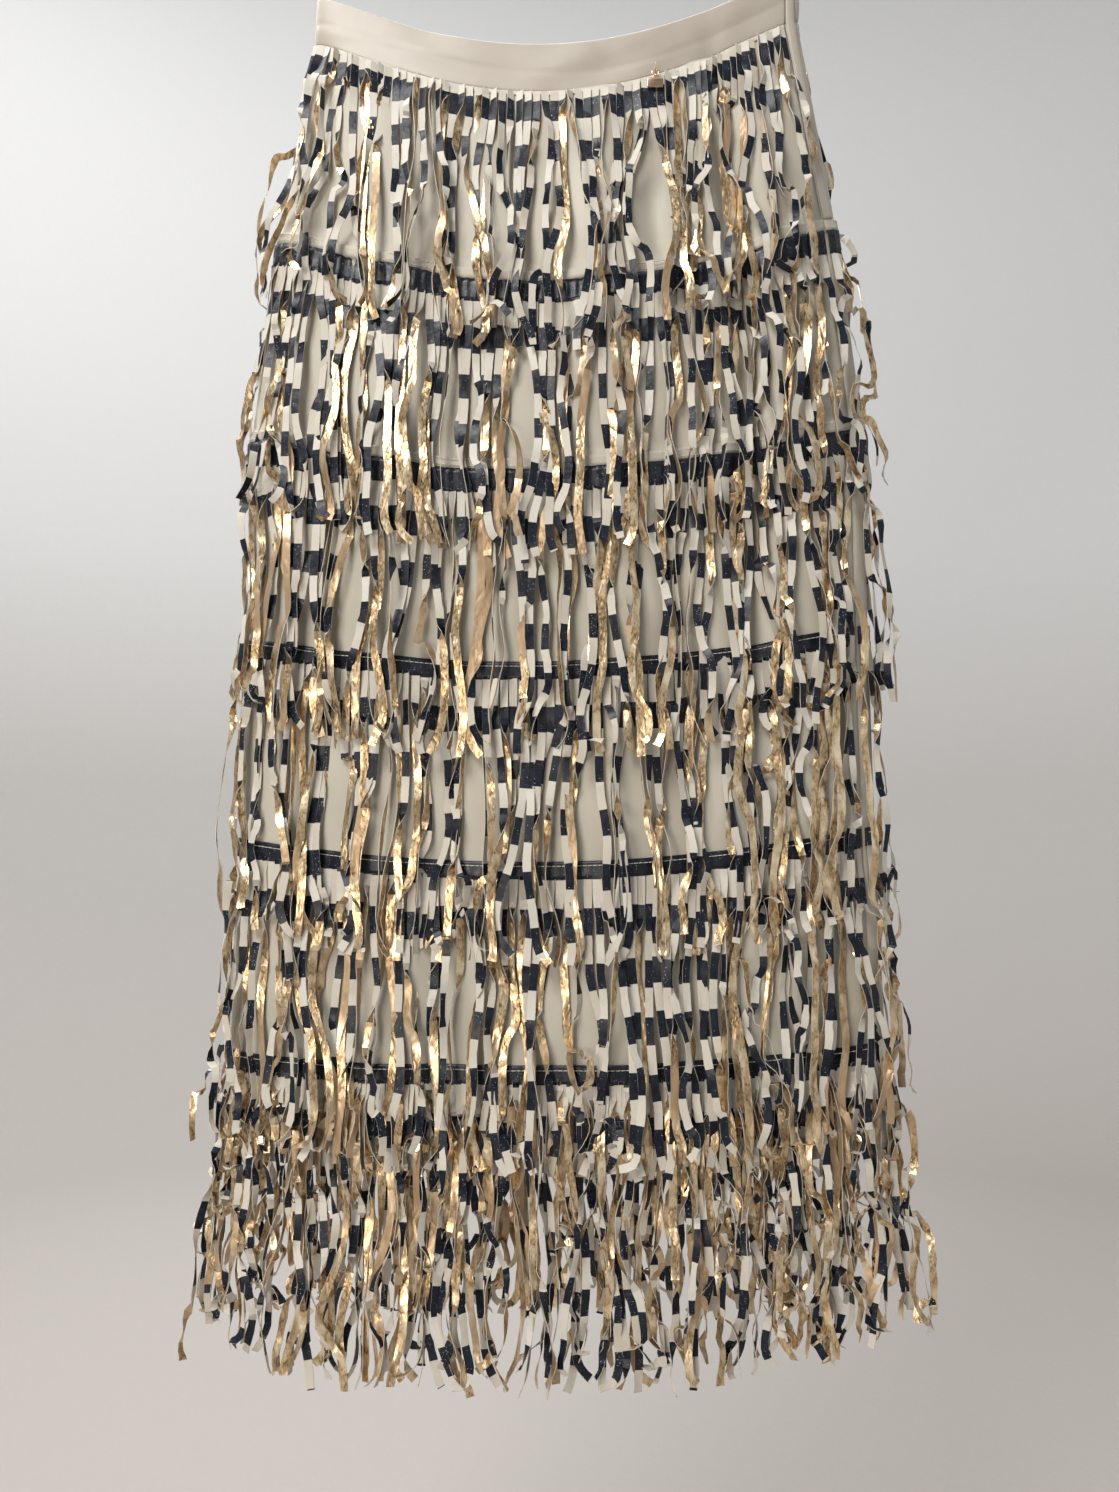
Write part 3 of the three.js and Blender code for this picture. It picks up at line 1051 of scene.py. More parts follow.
@dataclass
class Waistband:
    """The shaped satin band, with a rolled top, one level crease and a few dents.

    ripples are sizes in millimetres, paces in radians a millimetre and starts in radians.
    """

    form: SkirtForm
    height: float = 35.0
    proud: float = 0.6
    bow: float = 0.8
    wall: float = 1.9
    columns: int = 180
    seam_share: float = 0.0004
    rim: float = 0.75
    ripples: tuple[tuple[float, float, float], ...] = ((0.35, 0.05, 0.0), (0.25, 0.113, 1.0))
    crease_down: float = 20.5
    crease_depth: float = 0.42
    crease_width: float = 1.7
    crease_wave: float = 2.5
    crease_pace: float = 0.021
    dents: tuple[Crease, ...] = (
        Crease(-118, 13, 40, 12, -1.3, 1.2),
        Crease(-60, 22, 60, 8, -0.9, 1.45),
        Crease(-8, 14, 34, 10, 1.0, 1.5),
        Crease(38, 21, 46, 9, -1.2, 1.35),
        Crease(84, 15, 38, 10, 1.0, 1.7),
        Crease(122, 20, 40, 9, -1.3, 1.6),
        Crease(-148, 22, 26, 7, 0.9, 1.3),
    )

    def levels(self) -> tuple[Array, Array]:
        """Lengths down for the rows, and how far the rolled rim draws each of them in.

        Returns:
            Both, in millimetres.
        """
        rim = np.array([0.0, 0.12, 0.45, 1.0, 1.8])
        body = np.linspace(3.2, self.height - 1.6, 16)
        foot = np.array([self.height - 0.9, self.height - 0.3, self.height])
        down = np.concatenate([rim, body, foot])
        drawn = np.concatenate([[1.1, 0.6, 0.22, 0.05, 0.0], np.zeros(16), [0.08, 0.35, 0.8]])
        return down, drawn * self.rim

    def build(self, side: Side, material: Finish) -> Piece:
        """One half of the band.

        Args:
            side: The panel that it is sewn to.
            material: The satin.

        Returns:
            The piece.
        """
        levels, drawn = self.levels()
        mesh, column, row = unit_grid(f"band_{side.value}", self.columns, len(levels) - 1)
        share = self.seam_share + (1.0 - 2.0 * self.seam_share) * column / self.columns
        angle = self.form.angles(side, share)
        down = levels[row]
        across = self.form.column("half", down) * np.cos(angle)
        middle = 1.0 - np.abs(2.0 * down / self.height - 1.0) ** 2
        ripple = sum(size * np.sin(across * pace + start) for size, pace, start in self.ripples)
        line = self.crease_down + self.crease_wave * np.sin(across * self.crease_pace + 0.7)
        out = self.proud + self.bow * middle + ripple * middle - drawn[row]
        out -= self.crease_depth * np.exp(-(((down - line) / self.crease_width) ** 2))
        for dent in self.dents:
            along = across - dent.across
            off = down - dent.down + along * math.tan(math.pi / 2 - dent.slant)
            out += dent.rise * np.exp(-((off / dent.width) ** 2) - (along / dent.length) ** 4)
        points = self.form.point(angle, down, out)
        return lay_sheet(mesh, points, self.wall, material, "band_satin", f"waistband_{side.value}")


@dataclass
class Placket:
    """The covered edge of the concealed zip on the right side seam."""

    form: SkirtForm
    width: float = 8.0
    top: float = 2.0
    foot: float = 178.0
    out: float = 1.9
    wall: float = 0.9
    crown: float = 0.6
    spare: float = 1.25
    ripple: float = 0.3
    ripple_pace: float = 0.07
    columns: int = 10
    rows: int = 90

    def build(self, material: Finish) -> Piece:
        """The strip.

        Args:
            material: The satin.

        Returns:
            The piece.
        """
        mesh, column, row = unit_grid("placket_strip", self.columns, self.rows)
        share = column / self.columns
        hip_girth = self.form.along(np.array([self.form.right_seam]), np.array([self.form.hip_down]))[2][0]
        angle = self.form.right_seam - share * self.width / hip_girth * self.spare
        down = self.top + (self.foot - self.top) * row / self.rows
        crown = self.crown * np.sin(math.pi * share) + self.ripple * np.sin(down * self.ripple_pace) * share
        points = self.form.point(angle, down, self.out + crown)
        return lay_sheet(mesh, points, self.wall, material, "base_cloth", "side_placket")


# ------------------------------------------------------------------ fringe


@dataclass(frozen=True)
class Tier:
    """One tier of fringe: where its header starts, its height, and how its strands hang.

    stripe is the share of a stripe period that the pattern is moved by at the strands' roots,
    gather how deep the header is pleated, unruly how much the strands bend and turn, and
    clump how much they draw together.
    """

    number: int
    down: float
    header: float
    gather: float
    stripe: float
    strands: int
    unruly: float
    clump: float


TIERS = (
    Tier(1, 35.4, 3, 0.1, 0.853, 66, 1.4, 0.9),
    Tier(2, 186, 17, 1.2, 0.5, 80, 1.35, 0.95),
    Tier(3, 328, 17, 1.2, 0.5, 80, 1.4, 0.9),
    Tier(4, 464, 12, 0.2, 0.48, 80, 1.3, 0.8),
    Tier(5, 598, 12, 0.2, 0.48, 84, 1.6, 0.6),
    Tier(6, 737, 12, 0.2, 0.48, 150, 2.4, 0.3),
)


class StrandTemplate:
    """One thin ribbon as a closed mesh, whose points are given places for every strand."""

    def __init__(self, segments: int, sharp_bend: float = math.radians(24.0)) -> None:
        """Cuts the ribbon: one cell across and a number of segments along.

        Args:
            segments: How many segments there are.
            sharp_bend: The angle from which an edge is shaded sharp.
        """
        self.segments, self.sharp_bend = segments, sharp_bend
        shape = bmesh.new()
        bmesh.ops.create_grid(shape, x_segments=1, y_segments=segments, size=0.5)
        bmesh.ops.solidify(shape, geom=shape.faces[:], thickness=1.0)
        bmesh.ops.recalc_face_normals(shape, faces=shape.faces[:])
        mesh = mesh_from(shape, "strand_template")
        points = coordinates(mesh)
        self.across = points[:, 0]
        self.station = np.rint((0.5 - points[:, 1]) * segments).astype(int)
        self.layer = points[:, 2] - points[:, 2].mean()
        self.corners, self.sizes = face_corners(mesh)
        facing = np.array([face.normal.z for face in mesh.polygons])
        self.surface = np.full(len(facing), Surface.EDGE.value, np.int32)
        self.surface[facing > 0.5] = Surface.FACE.value
        self.surface[facing < -0.5] = Surface.BACK.value
        bpy.data.meshes.remove(mesh)

    def joined(self, name: str, points: Array, along: Array, tone: Array) -> Mesh:
        """All strands of one tier as one mesh.

        Args:
            name: The mesh's name.
            points: Places in metres, one row of template points for each strand.
            along: Metres along the ribbon for each strand's stations.
            tone: One number from 0 to 1 for each strand.

        Returns:
            The mesh, with its surfaces, its map and its tones.
        """
        count, size = points.shape[:2]
        mesh = repeated_mesh(name, points, self.corners, self.sizes)
        corners = face_corners(mesh)[0]
        mesh.polygons.foreach_set("material_index", np.tile(self.surface, count))
        mesh.polygons.foreach_set("use_smooth", np.ones(len(mesh.polygons), bool))
        mesh.set_sharp_from_angle(angle=self.sharp_bend)
        chart = mesh.uv_layers.new(name="UVMap")
        across = np.broadcast_to(self.across + 0.5, (count, size))
        chart_points = np.stack([across, along[:, self.station]], axis=-1).reshape(-1, 2)
        chart.data.foreach_set("uv", chart_points[corners].astype(np.float32).ravel())
        tones = mesh.attributes.new("tone", "FLOAT", "POINT")
        tones.data.foreach_set("value", np.repeat(tone, size).astype(np.float32))
        return mesh


@dataclass(frozen=True)
class Wave:
    """Waves along the strands: the limits of their length, in millimetres, and their size."""

    low: float
    high: float
    size: float

    def draw(self, count: int, rng: Random) -> tuple[Array, Array]:
        """A wave length and a phase for each of a number of rows."""
        return rng.uniform(self.low, self.high, count)[:, None], rng.uniform(0, 2 * math.pi, count)[:, None]


@dataclass(frozen=True)
class Course:
    """What is drawn for a tier's strands before they hang, one row for each strand.

    root is the angle of its root, share its place along the panel, bunch and layer where it is
    in which bunch, own how unruly it is, and steps the millimetres along it, by station.
    """

    root: Array
    share: Array
    bunch: Array
    layer: Array
    own: Array
    steps: Array
    rng: Random

    @property
    def count(self) -> int:
        """How many strands there are."""
        return len(self.own)

    @property
    def free(self) -> Array:
        """The strands' lengths, as a column."""
        return self.steps[:, -1:]

    def sine(self, wave_length: Array, phase: Array) -> Array:
        """A sine wave along each strand."""
        return np.sin(2 * math.pi * self.steps / wave_length + phase)

    def own_waves(self, waves: tuple[Wave, ...]) -> Array:
        """Waves of each strand's own, larger where it is unruly."""
        sizes = [wave.size * self.own[:, None] * self.sine(*wave.draw(self.count, self.rng)) for wave in waves]
        return np.sum(sizes, axis=0)

    def travel(self, rate: Array) -> Array:
        """How far each strand has gone at each station, from its rate of going."""
        made = 0.5 * (rate[:, 1:] + rate[:, :-1]) * np.diff(self.steps, axis=1)
        return np.concatenate([np.zeros((self.count, 1)), np.cumsum(made, axis=1)], axis=1)


@dataclass(frozen=True)
class Turnover:
    """A place where strands may turn over: its chance, and where it falls, in millimetres down them."""

    chance: float
    low: float
    high: float


@dataclass
class FringeTier:
    """One tier on one panel: a header strip and the strands that are cut from it."""

    form: SkirtForm
    tier: Tier
    side: Side
    length: float = 198.0
    uneven: float = 5.0
    evening: float = 0.6
    most_stretch: float = 0.32
    width: float = 5.4
    wall: float = 0.42
    pinch: float = 0.12
    root_slip: float = 0.35
    end_share: float = 0.004
    root_inset: float = 0.003
    root_scatter: float = 0.08
    root_gap: float = 0.2
    columns: int = 260
    rows: int = 5
    pleats: float = 66.0
    pleat_drift: float = 1.5
    drift_pace: float = 37.0
    pleat_swell: float = 0.4
    swell_pace: float = 91.0
    header_gap: float = 0.5
    top_gap_share: float = 0.2
    header_wall: float = 0.8
    root_overlap: float = 2.0
    clear_next: float = 4.0
    next_tier_down: float = 128.0
    clear_over: float = 60.0
    layer_step: float = 0.8
    layer_over: float = 34.0
    drift_over: float = 30.0
    end_crowding: float = 0.02
    bunch_low: int = 2
    bunch_high: int = 7
    pull_low: float = 0.3
    pull_high: float = 0.85
    middle_scatter: float = 0.007
    tightest: tuple[float, float] = (60.0, 150.0)
    opening: tuple[float, float] = (-0.2, 0.9)
    opens_over: float = 80.0
    still_end: float = 0.07
    sway: float = 0.15
    lift: float = 0.10
    sway_starts: tuple[float, float] = (3.0, 45.0)
    sway_grows: tuple[float, float] = (40.0, 190.0)
    lift_starts: tuple[float, float] = (6.0, 30.0)
    shared_waves: tuple[Wave, ...] = (Wave(120, 240, 0.8), Wave(60, 110, 0.45))
    own_waves: tuple[Wave, ...] = (Wave(90, 160, 0.6), Wave(45, 80, 0.5))
    kink_waves: tuple[Wave, ...] = (Wave(22, 36, 0.6), Wave(14, 20, 0.6))
    turn_waves: tuple[Wave, ...] = (Wave(110, 220, 0.22), Wave(40, 90, 0.16))
    calmest: float = 0.38
    wildest: float = 1.1
    wild_rarity: float = 1.6
    wild_places: float = 0.6
    calm: float = 0.3
    kink: float = 0.42
    crumple: float = 0.56
    reach: float = 6.5
    most_reach: float = 1.85
    side_reach: float = 13.0
    jolt_chance: float = 0.22
    jolt_memory: float = 0.62
    tip_curl: float = 0.9
    tip_length: float = 30.0
    kink_aside: float = 0.35
    drift_ease: float = 1.6
    turn_room: float = 0.45
    swing_back: float = 0.55
    root_pleat: float = 0.2
    top_pleat: float = 2.0
    turnovers: tuple[Turnover, ...] = (Turnover(0.36, 3, 38), Turnover(0.38, 45, 100), Turnover(0.36, 100, 170))
    last_tier_turns: int = 2
    turn_shares: tuple[float, ...] = (1.0, 1.0, 1.0, 0.45)
    twist_limits: tuple[float, float] = (4.0, 12.0)
    fold_across: float = 0.64
    fold_spread: float = 0.09
    charm_across: float = 0.395
    charm_spread: float = 0.055
    flat_to: float = 20.0
    free_from: float = 45.0
    seed: int = 0

    def name(self, part: str) -> str:
        """The name of one of the tier's pieces."""
        return f"fringe_{self.tier.number}_{self.side.value}_{part}"

    def node(self) -> str:
        """The solid that the tier's pieces stand for."""
        return f"tier_{self.tier.number}_{self.side.value}"

    def first_share(self) -> float:
        """Where the fringe starts on its panel: the back's first tier is clear of the zip.

        Returns:
            The share of the panel's girth.
        """
        if self.side is Side.BACK and self.tier.number == 1:
            return self.form.share_at(self.side, 0.0)
        return self.end_share

    def header(self, material: Finish) -> Piece:
        """The strip that the strands are cut from, gathered or flat.

        Args:
            material: Its finish.

        Returns:
            The piece.
        """
        mesh, column, row = unit_grid(self.name("header"), self.columns, self.rows)
        first = self.first_share()
        share = first + (1.0 - self.end_share - first) * column / self.columns
        angle = self.form.angles(self.side, share)
        down = self.tier.down + self.tier.header * row / self.rows
        drift = self.pleat_drift * np.sin(share * self.drift_pace)
        swell = 1.0 - self.pleat_swell * (1.0 - np.sin(share * self.swell_pace + row))
        wave = np.sin(share * 2.0 * math.pi * self.pleats + drift)
        puff = self.tier.gather * (0.5 + 0.5 * wave * swell)
        gap = self.header_gap * (self.top_gap_share if self.tier.number == 1 else 1.0)
        out = gap + self.header_wall + puff
        points = self.form.point(angle, down, out)
        return lay_sheet(mesh, points, self.header_wall, material, "fringe_ribbon", self.node())

    def bunches(self, count: int, rng: Random) -> tuple[Array, Array]:
        """Sorts neighbouring strands into bunches.

        Args:
            count: How many strands there are.
            rng: The source of unevenness.

        Returns:
            Each strand's bunch, and its layer in it.
        """
        bunch, layer = np.zeros(count, int), np.zeros(count)
        start = number = 0
        while start < count:
            size = min(int(rng.integers(self.bunch_low, self.bunch_high)), count - start)
            bunch[start : start + size] = number
            layer[start : start + size] = rng.permutation(size)
            start, number = start + size, number + 1
        return bunch, layer

    def plan(self, segments: int) -> Course:
        """Draws where the strands leave the header, their bunches, how unruly each is, and their lengths.

        Args:
            segments: How many segments each strand has.

        Returns:
            The tier's strands.
        """
        rng = np.random.default_rng([self.seed, self.tier.number])
        count = self.tier.strands
        first = self.first_share() + self.root_inset
        spread = 1.0 - self.end_share - self.root_inset - first
        share = (np.arange(count) + 0.5 + rng.uniform(-self.root_scatter, self.root_scatter, count)) / count
        share = first + spread * (share - self.end_crowding * np.sin(2 * math.pi * share))
        root = self.form.angles(self.side, share)
        bunch, layer = self.bunches(count, rng)
        own = self.unruliness(root, rng)
        free = self.length - self.tier.header + self.root_overlap
        free = free + self.uneven * np.sqrt(self.tier.unruly) * rng.normal(-0.9, 0.9, count)
        steps = np.linspace(0, 1, segments + 1)[None, :] * free[:, None]
        return Course(root, share, bunch, layer, own, steps, rng)

    def unruliness(self, root: Array, rng: Random) -> Array:
        """How much each strand bends and turns, more at the skirt's sides and in its deep fold.

        Args:
            root: The roots' angles.
            rng: The source of unevenness.

        Returns:
            One number for each strand, about 1 where it is common.
        """
        across = np.cos(root)
        at_side = smooth(0.72, 0.98, np.abs(across))
        in_fold = 0.0
        if self.side is Side.FRONT:
            in_fold = np.exp(-(((across - self.fold_across) / self.fold_spread) ** 2))
        drawn = self.calmest + self.wildest * rng.random(len(root)) ** self.wild_rarity
        return self.tier.unruly * (drawn + self.wild_places * at_side + self.wild_places * in_fold)

    def wander(self, course: Course) -> Array:
        """Smooth bends of about one unit along each strand, alike within a bunch and then its own.

        Args:
            course: The tier's strands.

        Returns:
            Bends, by strand and station.
        """
        bend = np.zeros(course.steps.shape)
        for wave in self.shared_waves:
            wave_length, phase = wave.draw(course.bunch.max() + 1, course.rng)
            bend += wave.size * course.sine(wave_length[course.bunch], phase[course.bunch])
        return bend + course.own_waves(self.own_waves)

    def kinks(self, course: Course) -> Array:
        """Short sharp bends of the strands that are crumpled.

        Args:
            course: The tier's strands.

        Returns:
            Bends, by strand and station.
        """
        kink = np.zeros(course.steps.shape)
        for wave in self.kink_waves:
            wave_length, phase = wave.draw(course.count, course.rng)
            swell = smooth(-0.2, 0.8, course.sine(wave_length * 3.7, phase * 1.7))
            kink += wave.size * swell * course.sine(wave_length, phase)
        jolts = course.rng.normal(0, 1, kink.shape) * (course.rng.random(kink.shape) < self.jolt_chance)
        for station in range(1, kink.shape[1]):
            jolts[:, station] += self.jolt_memory * jolts[:, station - 1]
        return (course.own[:, None] - self.calm) * (self.kink * kink + self.crumple * jolts)

    def bends(self, course: Course) -> tuple[Array, Array]:
        """How far each strand swings aside and lifts off the cloth at each station.

        Args:
            course: The tier's strands.

        Returns:
            Both bends, in radians.
        """
        steps, rng, count = course.steps, course.rng, course.count
        easing = smooth(*self.sway_starts, steps) * (0.6 + 0.8 * smooth(*self.sway_grows, steps))
        tip = smooth(0, 1, (steps - course.free + self.tip_length) / self.tip_length) ** 2
        kinks = self.kinks(course)
        sway = self.sway * easing * self.wander(course) + self.kink_aside * easing * kinks
        sway += self.tip_curl * tip * rng.normal(0, 0.5, count)[:, None] * np.sqrt(course.own)[:, None]
        lift = self.lift * easing * self.wander(course) + smooth(*self.lift_starts, steps) * kinks
        lift += self.tip_curl * tip * rng.normal(0.12, 0.4, count)[:, None]
        return sway, lift

    def freedom(self, course: Course) -> Array:
        """How freely each strand leaves the cloth, from 0 to 1: the roots behind the charm lie flat.

        Args:
            course: The tier's strands.

        Returns:
            The freedom, by strand and station.
        """
        if self.side is Side.BACK or self.tier.number > 1:
            return np.ones(course.steps.shape)
        behind = np.exp(-(((np.cos(course.root) - self.charm_across) / self.charm_spread) ** 4))[:, None]
        return 1.0 - behind * (1.0 - smooth(self.flat_to, self.free_from, course.steps))

    def turn_over(self, course: Course) -> Array:
        """How far each strand is turned about its own length.

        Args:
            course: The tier's strands.

        Returns:
            Turns, in radians.
        """
        steps, rng, count = course.steps, course.rng, course.count
        turn = np.zeros(steps.shape)
        for over in self.turnovers * (self.last_tier_turns if self.tier.number == len(TIERS) else 1):
            happens = rng.random(count) < over.chance * (0.6 + 0.4 * course.own)
            where = rng.uniform(over.low, over.high, count)[:, None]
            size = rng.choice([-1.0, 1.0], count) * rng.choice(self.turn_shares, count) * math.pi * happens
            twist = rng.uniform(*self.twist_limits, count)[:, None]
            turn += size[:, None] * (0.5 + 0.5 * np.tanh((steps - where) / twist))
        turn += course.own_waves(self.turn_waves)
        pleat = self.root_pleat * (self.top_pleat if self.tier.number == 1 else 1.0)
        pleat = rng.normal(0, pleat, count)[:, None]
        return turn * smooth(0, 14, steps) + pleat * (1.0 - smooth(10, 60, steps))

    def gather_in(self, course: Course) -> Array:
        """How far strands lean towards the middle of their bunch, in millimetres.

        Args:
            course: The tier's strands.

        Returns:
            Shifts along the girth, by strand and station.
        """
        share, bunch, steps, rng = course.share, course.bunch, course.steps, course.rng
        groups = bunch.max() + 1
        middle = np.bincount(bunch, share) / np.bincount(bunch) + rng.normal(0, self.middle_scatter, groups)
        pull = self.tier.clump * rng.uniform(self.pull_low, self.pull_high, groups)[bunch]
        pull = pull * (0.7 + 0.5 * rng.random(course.count))
        pull = pull * smooth(0.0, self.still_end, share) * smooth(0.0, self.still_end, 1.0 - share)
        tightest = rng.uniform(*self.tightest, groups)[bunch][:, None]
        opening = rng.uniform(*self.opening, groups)[bunch][:, None]
        opens = opening * smooth(tightest, tightest + self.opens_over, steps)
        rate = smooth(4, tightest, steps) * (1.0 - opens)
        return (middle[bunch] - share)[:, None] * self.form.girth(self.side) * pull[:, None] * rate

    def distance_out(self, course: Course, away: Array, turn: Array, freedom: Array) -> Array:
        """How far off the cloth each strand hangs, never inside it.

        Args:
            course: The tier's strands.
            away: How far their bends would carry them off the cloth, in millimetres.
            turn: How far they are turned about their length.
            freedom: How freely they leave the cloth.

        Returns:
            Distances of their middle lines, in millimetres.
        """
        steps = course.steps
        root_out = self.header_gap + self.root_gap + self.tier.gather * 0.5
        layers = self.layer_step * course.layer[:, None] * smooth(0, self.layer_over, steps)
        clears_from = self.next_tier_down - self.clear_over
        over_next = self.clear_next * smooth(clears_from, self.next_tier_down, steps)
        swell = np.log1p(np.exp(np.clip(away / self.drift_ease, -30, 30)))
        drift = self.drift_ease * swell * smooth(0, self.drift_over, steps)
        reach = self.reach * min(self.tier.unruly, self.most_reach)
        out = root_out + (layers + over_next + reach * np.tanh(drift / reach)) * freedom
        return out + self.turn_room * self.width * np.abs(np.sin(turn))

    def strands(self, template: StrandTemplate, materials: tuple[Finish, ...]) -> Piece:
        """Every strand of the tier, marched down from its root with its length kept.

        Args:
            template: The ribbon that is repeated.
            materials: The finishes of its face, back and edges.

        Returns:
            The piece.
        """
        course = self.plan(template.segments)
        steps, rng = course.steps, course.rng
        sway, lift = self.bends(course)
        freedom = self.freedom(course)
        turn = self.turn_over(course) * freedom
        fall = course.travel(np.cos(sway) * np.cos(lift))
        short = self.evening * (course.free.mean() / fall[:, -1:] - 1.0)
        fall *= 1.0 + np.clip(short, -self.most_stretch, self.most_stretch)
        aside = course.travel(np.sin(sway))
        aside -= self.swing_back * aside[:, -1:] * (steps / course.free) ** 1.5
        aside = self.side_reach * np.tanh(aside / self.side_reach) + self.gather_in(course)
        out = self.distance_out(course, course.travel(np.sin(lift)), turn, freedom)
        places, level, normal = self.settle(course.root, fall, aside, out)
        points = self.spread_out(template, course, places, level, normal, turn)
        along = (steps - self.root_overlap + rng.normal(0, self.root_slip, course.count)[:, None]) * MM
        mesh = template.joined(self.name("strands"), points * MM, along, rng.random(course.count))
        piece = add_object(mesh, *materials)
        wear(piece, "fringe_ribbon", (self.node(),))
        return piece

    def settle(self, root: Array, fall: Array, aside: Array, out: Array) -> tuple[Array, Array, Array]:
        """Turns falls and shifts into places on the skirt.

        Args:
            root: The roots' angles.
            fall: Millimetres fallen, by strand and station.
            aside: Millimetres to the wearer's left on the front.
            out: Millimetres off the cloth.

        Returns:
            Places, width directions and face directions.
        """
        form = self.form
        start = self.tier.down + self.tier.header - self.root_overlap
        root_down = np.full(root.shape, start)
        root_place = form.point(root, root_down, np.zeros(root.shape))
        height = root_place[:, 2:3] - fall
        across = np.cos(root)[:, None]
        follows = smooth(0.8, 0.98, np.abs(across))
        sign = np.where(np.sin(root) >= 0, 1.0, -1.0)[:, None]
        back_share = np.where(sign > 0, 1.0, form.back_dip_share)
        down = start + fall
        half = form.column("half", root_down)[:, None]
        for _ in range(3):
            narrower = np.clip(across * (half / form.column("half", down)) ** (1.0 - follows), -1, 1)
            angle = sign * np.arccos(narrower)
            dip_share = np.abs(np.sin(angle)) ** form.dip_power * back_share
            level = form.column("tilt", down) * np.cos(angle) - form.column("dip", down) * dip_share
            down = level - form.waist_drop - height
        angle = angle - aside / form.along(angle, down)[2]
        places = form.point(angle, down, out)
        places[..., 2] = height
        along_x, along_y, _ = form.along(angle, down)
        normal_x, normal_y = form.normal(angle, down)
        flat = np.zeros(along_x.shape)
        return places, np.stack([-along_x, -along_y, flat], -1), np.stack([normal_x, normal_y, flat], -1)

    def spread_out(self, template: StrandTemplate, course: Course, places: Array, level: Array,
                   normal: Array, turn: Array) -> Array:
        """Gives each strand its width and thickness.

        Args:
            template: The ribbon that is repeated.
            course: The tier's strands.
            places: Their middle lines.
            level: The level direction along the skirt at each station.
            normal: The outward direction at each station.
            turn: The strands' turns.

        Returns:
            Places in millimetres, one row of template points for each strand.
        """
        tangent = np.gradient(places, axis=1)
        tangent /= np.linalg.norm(tangent, axis=-1, keepdims=True)
        wide = np.cos(turn)[..., None] * level + np.sin(turn)[..., None] * normal
        wide -= tangent * np.sum(wide * tangent, axis=-1, keepdims=True)
        wide /= np.linalg.norm(wide, axis=-1, keepdims=True)
        face = np.cross(tangent, wide)
        pinch = course.own[:, None] * course.rng.random(turn.shape) * smooth(10, 40, course.steps)
        narrow = 1.0 - self.pinch * pinch
        breadth = template.across[None, :] * self.width * np.clip(narrow, 0.7, 1.0)[:, template.station]
        rise = self.wall * template.layer[None, :]
        station = template.station
        return places[:, station] + wide[:, station] * breadth[..., None] + face[:, station] * rise[..., None]


# ------------------------------------------------------------------ sewing


@dataclass
class StitchRows:
    """Rows of small stitches that lie on the skirt's face."""

    form: SkirtForm
    length: float = 2.8
    gap: float = 0.45
    thick: float = 0.5
    sides: int = 5
    out: float = 1.7
    first: float = 0.01
    last: float = 0.99
    probes: int = 400

    def template(self) -> tuple[Array, Array, Array]:
        """One stitch: a little spindle from a cone of few sides, as points and faces.

        Returns:
            Its points, its face corners and its faces' corner counts.
        """
        shape = bmesh.new()
        bmesh.ops.create_cone(shape, cap_ends=True, segments=self.sides, radius1=0.5, radius2=0.5, depth=1.0)
        mesh = mesh_from(shape, "stitch_template")
        points, (corners, sizes) = coordinates(mesh), face_corners(mesh)
        bpy.data.meshes.remove(mesh)
        return points, corners, sizes

    def row(self, side: Side, down: float) -> Array:
        """The places of one row's stitches.

        Args:
            side: The panel.
            down: The row's length down.

        Returns:
            Both ends of each stitch, in millimetres.
        """
        probe = self.form.angles(side, np.linspace(self.first, self.last, self.probes))
        places = self.form.point(probe, np.full(self.probes, down), np.full(self.probes, self.out))
        lengths = np.concatenate([[0.0], np.cumsum(np.linalg.norm(np.diff(places, axis=0), axis=1))])
        starts = np.arange(0.0, lengths[-1] - self.length, self.length + self.gap)
        ends = [starts, starts + self.length]
        both = [[np.interp(end, lengths, places[:, axis]) for axis in range(3)] for end in ends]
        return np.array(both).transpose(2, 0, 1)

    def build(self, name: str, rows: list[Array], material: Finish, slot: str) -> Piece:
        """Joins rows of stitches into one piece.

        Args:
            name: The piece's name.
            rows: Stitch ends, from row.
            material: The thread.
            slot: The record's material slot.

        Returns:
            The piece.
        """
        ends = np.concatenate(rows)
        points, corners, sizes = self.template()
        start, end = ends[:, 0], ends[:, 1]
        axis = end - start
        lengthwise = axis / np.linalg.norm(axis, axis=1, keepdims=True)
        upright = np.array([0.0, 0.0, 1.0])
        outward = np.cross(lengthwise, upright)
        outward /= np.linalg.norm(outward, axis=1, keepdims=True)
        upward = np.cross(outward, lengthwise)
        middle = (start + end) / 2
        placed = (
            middle[:, None]
            + axis[:, None] * points[None, :, 2:3]
            + outward[:, None] * points[None, :, 0:1] * self.thick
            + upward[:, None] * points[None, :, 1:2] * self.thick
        )
        mesh = repeated_mesh(name, placed * MM, corners, sizes)
        shape = bmesh.new()
        shape.from_mesh(mesh)
        bmesh.ops.recalc_face_normals(shape, faces=shape.faces[:])
        shape.to_mesh(mesh)
        shape.free()
        piece = add_object(mesh, material)
        wear(piece, slot)
        return piece


# ------------------------------------------------------------------ loops and charm


